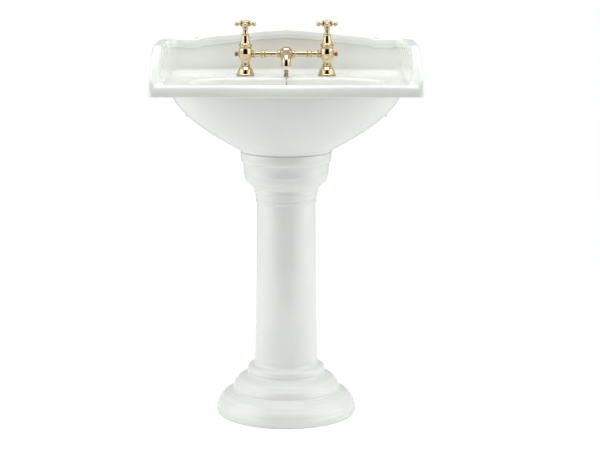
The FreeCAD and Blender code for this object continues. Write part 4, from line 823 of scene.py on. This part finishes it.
def bridge(tag, x):
    """Ringed tube from the spout's ball out to one pillar, with its union nut."""
    outwards = "-x" if x < 0 else "x"
    centre = (0, TAP_LINE, BRIDGE_LEVEL)
    union = turned(f"{tag}_union_sleeve", [
        (0, 58.4), (8.2, 58.4), (9.8, 59.0, 0.3), (10.1, 60.4, 0.2), (9.8, 61.8, 0.3), (7.9, 62.6, -0.2),
        (7.3, 63.6), (7.3, 76.4), (7.9, 77.2, -0.2), (9.6, 77.9, 0.3), (10.3, 79.4, 0.2),
        (9.6, 80.9, 0.3), (8.4, 81.6, -0.2), (8.4, 82.9), (0, 82.9),
    ], BRASS, centre, outwards)
    stand_for(union, "fixed", f"{tag}_bridge_union")
    tube = turned(f"{tag}_ringed_tube", [
        (0, 49.2), (7.8, 49.2), (9.2, 49.9, 0.3), (9.5, 51.6, 0.3), (9.2, 53.3, 0.3), (7.6, 54.1, -0.2),
        (6.9, 55.0, -0.2), (6.9, 58.6), (0, 58.6),
    ], BRASS, centre, outwards)
    stand_for(tube, "fixed", f"{tag}_bridge_tube")


def spout():
    """Ball between the bridge tubes, and the spout that runs forward and turns down."""
    centre = (0, TAP_LINE, BRIDGE_LEVEL)
    ball = [(0, SPOUT_BALL_RADIUS), (SPOUT_BALL_RADIUS, 0, 0.41), (0, -SPOUT_BALL_RADIUS, 0.41)]
    parts = [turned("spout_ball", ball, BRASS, centre)]
    for way in ("x", "-x"):
        parts.append(turned(f"spout_arm{way}", [
            (0, 10), (9.4, 10), (9.4, 18.2), (9.9, 19.2, 0.3), (9.9, 20.4, 0.3), (9.0, 21.4, 0.2),
            (7.4, 22.4, -0.3), (7.0, 24.0), (7.0, 49.4), (0, 49.4),
        ], BRASS, centre, way))
    barrel_rings = list(spout_course())
    faces = bridged(len(barrel_rings), TURNED_SIDES)
    parts.append(mesh_piece("spout_barrel", np.vstack(barrel_rings), faces, BRASS, METAL_SHARP))
    stand_for(joined("bridge_spout", parts), "fixed", "spout")


def spout_course():
    """Rings of points along the barrel, from inside the ball to the bore of its mouth."""
    # each stop is y, z, the barrel's radius there, and how far it has turned down
    course = [(y, BRIDGE_LEVEL, r, 0.0)
              for y, r in ((133, 0.0), (133, 12.6), (123, 12.6), (121.5, 13.0), (120, 12.6),
                           (118, 11.6), (100, 11.2), (80, 11.0), (62, 11.2))]
    bend_level = BRIDGE_LEVEL - SPOUT_BEND_RADIUS
    for turn in quarter(9):
        course.append((SPOUT_BEND_START - SPOUT_BEND_RADIUS * math.sin(turn),
                       bend_level + SPOUT_BEND_RADIUS * math.cos(turn), 11.3 + turn * 0.5, turn))
    for rise, radius in ((3.0, 12.3), (1.4, 12.7), (0.4, 12.7), (0, 12.3), (0, 11.4), (6, 11.4), (6, 0.0)):
        course.append((SPOUT_REACH, SPOUT_MOUTH + rise, radius, QUARTER_TURN))
    angles = np.arange(TURNED_SIDES) / TURNED_SIDES * FULL_TURN
    for y, z, radius, turn in course:
        aside, up = radius * np.cos(angles), radius * np.sin(angles)
        yield np.column_stack([aside, y - up * math.sin(turn), z + up * math.cos(turn)])


def flow_straightener():
    """Ringed insert in the spout's mouth."""
    face, groove, back = SPOUT_MOUTH + 2, SPOUT_MOUTH + 1.2, SPOUT_MOUTH + 5
    rings = [(0, face)]
    for radius in (2.4, 5.0, 7.6, 10.2):
        rings += [(radius - 0.9, face), (radius - 0.9, groove), (radius, groove), (radius, face)]
    rings += [(11.3, face), (11.3, back), (0, back)]
    insert = turned("ringed_flow_straightener", rings, CHROME, (0, SPOUT_REACH, 0), sides=SLIM_SIDES)
    stand_for(insert, "fixed", "flow_straightener")


def chain_stay():
    """Two-lobed stay on the deck that holds the upper end of the plug's chain."""
    stay = turned("lobed_chain_stay", [
        (0, 847.6), (3.6, 846.9, 0.2), (5.6, 844.4, 0.3), (5.2, 842.2, 0.3), (3.6, 841.0, -0.3),
        (4.6, 839.6, -0.1), (5.2, 837.6, 0.3), (4.6, 835.6, 0.2), (3.6, 834.4, -0.2), (4.8, 833.4, -0.1),
        (5.2, 832.6, 0.3), (5.0, DECK), (3.9, DECK), *screw_thread(3.9, 0.4, 830.0, STAY_FOOT, 1.2),
        (3.2, STAY_FOOT), (0, STAY_FOOT),
    ], DEEP_BRASS, (0, STAY_LINE, 0), sides=SLIM_SIDES)
    stand_for(stay, "fixed", "chain_stay")


# ---------------------------------------------------------------- chain

# from the stay down the back of the bowl, round on its floor and up to the plug's cap
CHAIN_ROUTE = [
    (0, 118.2, 845), (0.4, 102, 842), (0.8, 86, 838), (1.2, 79.6, 822), (1.6, 78.6, 792),
    (1.4, 76.6, 762), (1.5, 71.5, 735), (6, 61, 714), (20, 51, 702.5), (38, 40, 699.5), (49, 22, 698),
    (46, 1, 697.6), (30, -12, 699), (13, -8, 703.5), (3, 6, 707.5), (0, 18, 705.5),
]
CHAIN_DIAMETER = 0.0032
BEAD_PITCH = 0.0037
LINK_DIAMETER = 0.0012


def chain_line():
    """The chain's smooth centre line, in metres, as points along its spline."""
    curve = bpy.data.curves.new("chain_route", "CURVE")
    curve.dimensions = "3D"
    curve.resolution_u = 24
    line = curve.splines.new("NURBS")
    line.points.add(len(CHAIN_ROUTE) - 1)
    for point, place in zip(line.points, CHAIN_ROUTE):
        point.co = [c * MM for c in place] + [1]
    line.order_u = 3
    line.use_endpoint_u = True
    holder = in_scene("chain_route", curve)
    mesh = as_mesh(holder)
    bpy.data.objects.remove(holder)
    bpy.data.curves.remove(curve)
    return mesh


def chain_links_tree():
    """Beads at an even pitch along a line of edges, with a thin link through them."""
    tree = bpy.data.node_groups.new("bead_chain", "GeometryNodeTree")
    face = tree.interface
    face.new_socket("Line", in_out="INPUT", socket_type="NodeSocketGeometry")
    for label, size in (("Bead Diameter", CHAIN_DIAMETER), ("Bead Pitch", BEAD_PITCH),
                        ("Link Diameter", LINK_DIAMETER)):
        face.new_socket(label, in_out="INPUT", socket_type="NodeSocketFloat").default_value = size
    face.new_socket("Metal", in_out="INPUT", socket_type="NodeSocketMaterial")
    face.new_socket("Chain", in_out="OUTPUT", socket_type="NodeSocketGeometry")
    given = add_node(tree, "NodeGroupInput").outputs
    line = add_node(tree, "GeometryNodeMeshToCurve", Mesh=given["Line"]).outputs["Curve"]
    even = add_node(tree, "GeometryNodeResampleCurve", {"mode": "LENGTH"}, Curve=line,
                    Length=given["Bead Pitch"])
    half = add_node(tree, "ShaderNodeMath", {"operation": "MULTIPLY"}, Value=given["Bead Diameter"])
    half.inputs[1].default_value = 0.5
    bead = add_node(tree, "GeometryNodeMeshUVSphere", {"Segments": 14, "Rings": 9},
                    Radius=half.outputs[0])
    beads = add_node(tree, "GeometryNodeInstanceOnPoints", Points=even.outputs["Curve"],
                     Instance=bead.outputs["Mesh"])
    thin = add_node(tree, "ShaderNodeMath", {"operation": "MULTIPLY"}, Value=given["Link Diameter"])
    thin.inputs[1].default_value = 0.5
    round_wire = add_node(tree, "GeometryNodeCurvePrimitiveCircle", {"Resolution": 8},
                          Radius=thin.outputs[0])
    wire = add_node(tree, "GeometryNodeCurveToMesh", {"Fill Caps": True}, Curve=even.outputs["Curve"],
                    Profile_Curve=round_wire.outputs["Curve"])
    both = add_node(tree, "GeometryNodeJoinGeometry")
    tree.links.new(wire.outputs["Mesh"], both.inputs["Geometry"])
    tree.links.new(beads.outputs["Instances"], both.inputs["Geometry"])
    even_shade = add_node(tree, "GeometryNodeSetShadeSmooth", Geometry=both.outputs["Geometry"])
    solid = add_node(tree, "GeometryNodeRealizeInstances", Geometry=even_shade.outputs["Geometry"])
    coated = add_node(tree, "GeometryNodeSetMaterial", Geometry=solid.outputs["Geometry"],
                      Material=given["Metal"])
    add_node(tree, "NodeGroupOutput", Chain=coated.outputs["Geometry"])
    return tree


def chain():
    """Bead chain from the stay down into the bowl, round and up to the plug."""
    line = chain_line()
    path = [tuple(vertex.co) for vertex in line.vertices]
    piece = in_scene("bead_chain", line)
    tree = chain_links_tree()
    beads = piece.modifiers.new("beads", "NODES")
    beads.node_group = tree
    for socket in tree.interface.items_tree:
        if socket.name == "Metal":
            beads[socket.identifier] = NICKEL
    piece.data = as_mesh(piece)
    piece.modifiers.clear()
    bpy.data.meshes.remove(line)
    bpy.data.node_groups.remove(tree)
    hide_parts("plug_chain")
    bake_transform(piece)
    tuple(path[0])


# ---------------------------------------------------------------- CAD nodes that stay

# finish of a node whose name holds the word; the last word that fits counts, and the rest are brass
FINISHES = {
    "chain_stay": DEEP_BRASS,
    "seal": RUBBER,
    "washer": RUBBER,
    "packing": RUBBER,
    "gasket": WHITE_SEAL,
    "trap": CHROME,
    "outlet": CHROME,
}


def finish_cad_nodes():
    """Every node that stays gets the finish of the real piece."""
    for name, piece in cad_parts.items():
        chosen = RUBBER if name == "plug" else BRASS
        for word, material in FINISHES.items():
            if word in name:
                chosen = material
        for place in piece.material_slots:
            place.material = chosen


# ---------------------------------------------------------------- studio, metres

CAMERA_PLACE = (0, -4.45, 1.292)
CAMERA_PITCH = 10.38
LENS_LENGTH_MM = 110.2
LAMP_AIM = (0, 0, 0.8)
SIDE_LAMP = {"width": 2.4, "height": 2.6, "power": 22}
TOP_LAMP = {"width": 2.0, "height": 2.0, "power": 26}
PAPER_HALF_WIDTH = 6.0
PAPER_FRONT = -1.5
PAPER_BACK = 6.0


def camera():
    """Long lens a little above the rim, as a catalogue picture is taken."""
    lens = bpy.data.cameras.new("studio_camera")
    lens.lens = LENS_LENGTH_MM
    lens.sensor_width = 36.0
    lens.shift_x = 0.023
    eye = in_scene("studio_camera", lens)
    eye.location = CAMERA_PLACE
    eye.rotation_euler = (math.radians(90 - CAMERA_PITCH), 0, 0)
    bpy.context.scene.camera = eye


def softbox(name, place, aim, width, height, power):
    """A white lamp of the given size, in metres and watts, turned to face its aim."""
    lamp = bpy.data.lights.new(name, "AREA")
    lamp.shape = "RECTANGLE"
    lamp.size = width
    lamp.size_y = height
    lamp.energy = power
    box = in_scene(name, lamp)
    box.location = place
    way = [a - p for a, p in zip(aim, place)]
    flat = math.hypot(way[0], way[1])
    box.rotation_euler = (QUARTER_TURN + math.atan2(way[2], flat), 0, math.atan2(-way[0], way[1]))


def studio():
    """Two tall softboxes at the sides and one above, round an unlit camera side."""
    softbox("left_softbox", (-2.0, -0.5, 1.25), LAMP_AIM, **SIDE_LAMP)
    softbox("right_softbox", (2.0, -0.5, 1.25), LAMP_AIM, **SIDE_LAMP)
    softbox("top_softbox", (0, -0.25, 2.7), (0, 0, 0.6), **TOP_LAMP)
    surround()
    floor()


def surround():
    """Pale studio walls with a dark gap on the camera's side, which polished metal mirrors."""
    gap_spread = 0.58
    gap_soft_edge = (-0.03, 0.05)
    gap_glow, wall_glow = 0.004, 0.62
    world = bpy.data.worlds.new("studio_surround")
    bpy.context.scene.world = world
    world.use_nodes = True
    tree = world.node_tree
    tree.nodes.clear()
    way = add_node(tree, "ShaderNodeTexCoord")
    parts = add_node(tree, "ShaderNodeSeparateXYZ", Vector=way.outputs["Generated"])
    aside = add_node(tree, "ShaderNodeMath", {"operation": "ABSOLUTE"}, Value=parts.outputs["X"])
    # the gap narrows with height, and the walls close over it overhead
    ahead = add_node(tree, "ShaderNodeMath", {"operation": "MULTIPLY_ADD"}, Value=parts.outputs["Y"])
    ahead.inputs[1].default_value = gap_spread
    tree.links.new(aside.outputs[0], ahead.inputs[2])
    over = add_node(tree, "ShaderNodeMapRange", {"From Min": 0.5, "From Max": 1.0, "To Max": 0.6},
                    Value=parts.outputs["Z"])
    outside = add_node(tree, "ShaderNodeMath", {"operation": "ADD"}, Value=ahead.outputs[0])
    tree.links.new(over.outputs["Result"], outside.inputs[1])
    gap = add_node(tree, "ShaderNodeMapRange",
                   {"From Min": gap_soft_edge[0], "From Max": gap_soft_edge[1],
                    "To Min": gap_glow, "To Max": wall_glow}, Value=outside.outputs[0])
    fill = add_node(tree, "ShaderNodeBackground", {"Color": linear("#F6FAF6")},
                    Strength=gap.outputs["Result"])
    white = add_node(tree, "ShaderNodeBackground", {"Color": (1, 1, 1, 1), "Strength": 1.0})
    seen = add_node(tree, "ShaderNodeLightPath")
    mixed = add_node(tree, "ShaderNodeMixShader", Fac=seen.outputs["Is Camera Ray"])
    tree.links.new(fill.outputs[0], mixed.inputs[1])
    tree.links.new(white.outputs[0], mixed.inputs[2])
    add_node(tree, "ShaderNodeOutputWorld", Surface=mixed.outputs[0])


def floor():
    """White paper that stays white to the eye and keeps a soft contact shadow."""
    glow_share, glow_strength = 0.86, 1.09
    corners = [(-PAPER_HALF_WIDTH, PAPER_FRONT, 0), (PAPER_HALF_WIDTH, PAPER_FRONT, 0),
               (PAPER_HALF_WIDTH, PAPER_BACK, 0), (-PAPER_HALF_WIDTH, PAPER_BACK, 0)]
    floor_mesh = bpy.data.meshes.new("studio_floor")
    floor_mesh.from_pydata(corners, [], [(0, 1, 2, 3)])
    paper = bpy.data.materials.new("white_paper_floor")
    paper.use_nodes = True
    tree = paper.node_tree
    tree.nodes.clear()
    matt = add_node(tree, "ShaderNodeBsdfDiffuse", {"Color": linear("#F2F2F2")})
    glow = add_node(tree, "ShaderNodeEmission", {"Color": (1, 1, 1, 1), "Strength": glow_strength})
    seen = add_node(tree, "ShaderNodeLightPath")
    share = add_node(tree, "ShaderNodeMath", {"operation": "MULTIPLY"}, Value=seen.outputs["Is Camera Ray"])
    share.inputs[1].default_value = glow_share
    mixed = add_node(tree, "ShaderNodeMixShader", Fac=share.outputs[0])
    tree.links.new(matt.outputs[0], mixed.inputs[1])
    tree.links.new(glow.outputs[0], mixed.inputs[2])
    add_node(tree, "ShaderNodeOutputMaterial", Surface=mixed.outputs[0])
    floor_mesh.materials.append(paper)
    in_scene("studio_floor", floor_mesh)


camera()
chain()
basin()
apron()
pedestal()
for tag, x in TAP_AXES.items():
    tap_pillar(tag, x)
    cross_handle(tag, x)
    bridge(tag, x)
spout()
flow_straightener()
chain_stay()
finish_cad_nodes()
studio()
bpy.context.scene.view_settings.view_transform = "Standard"
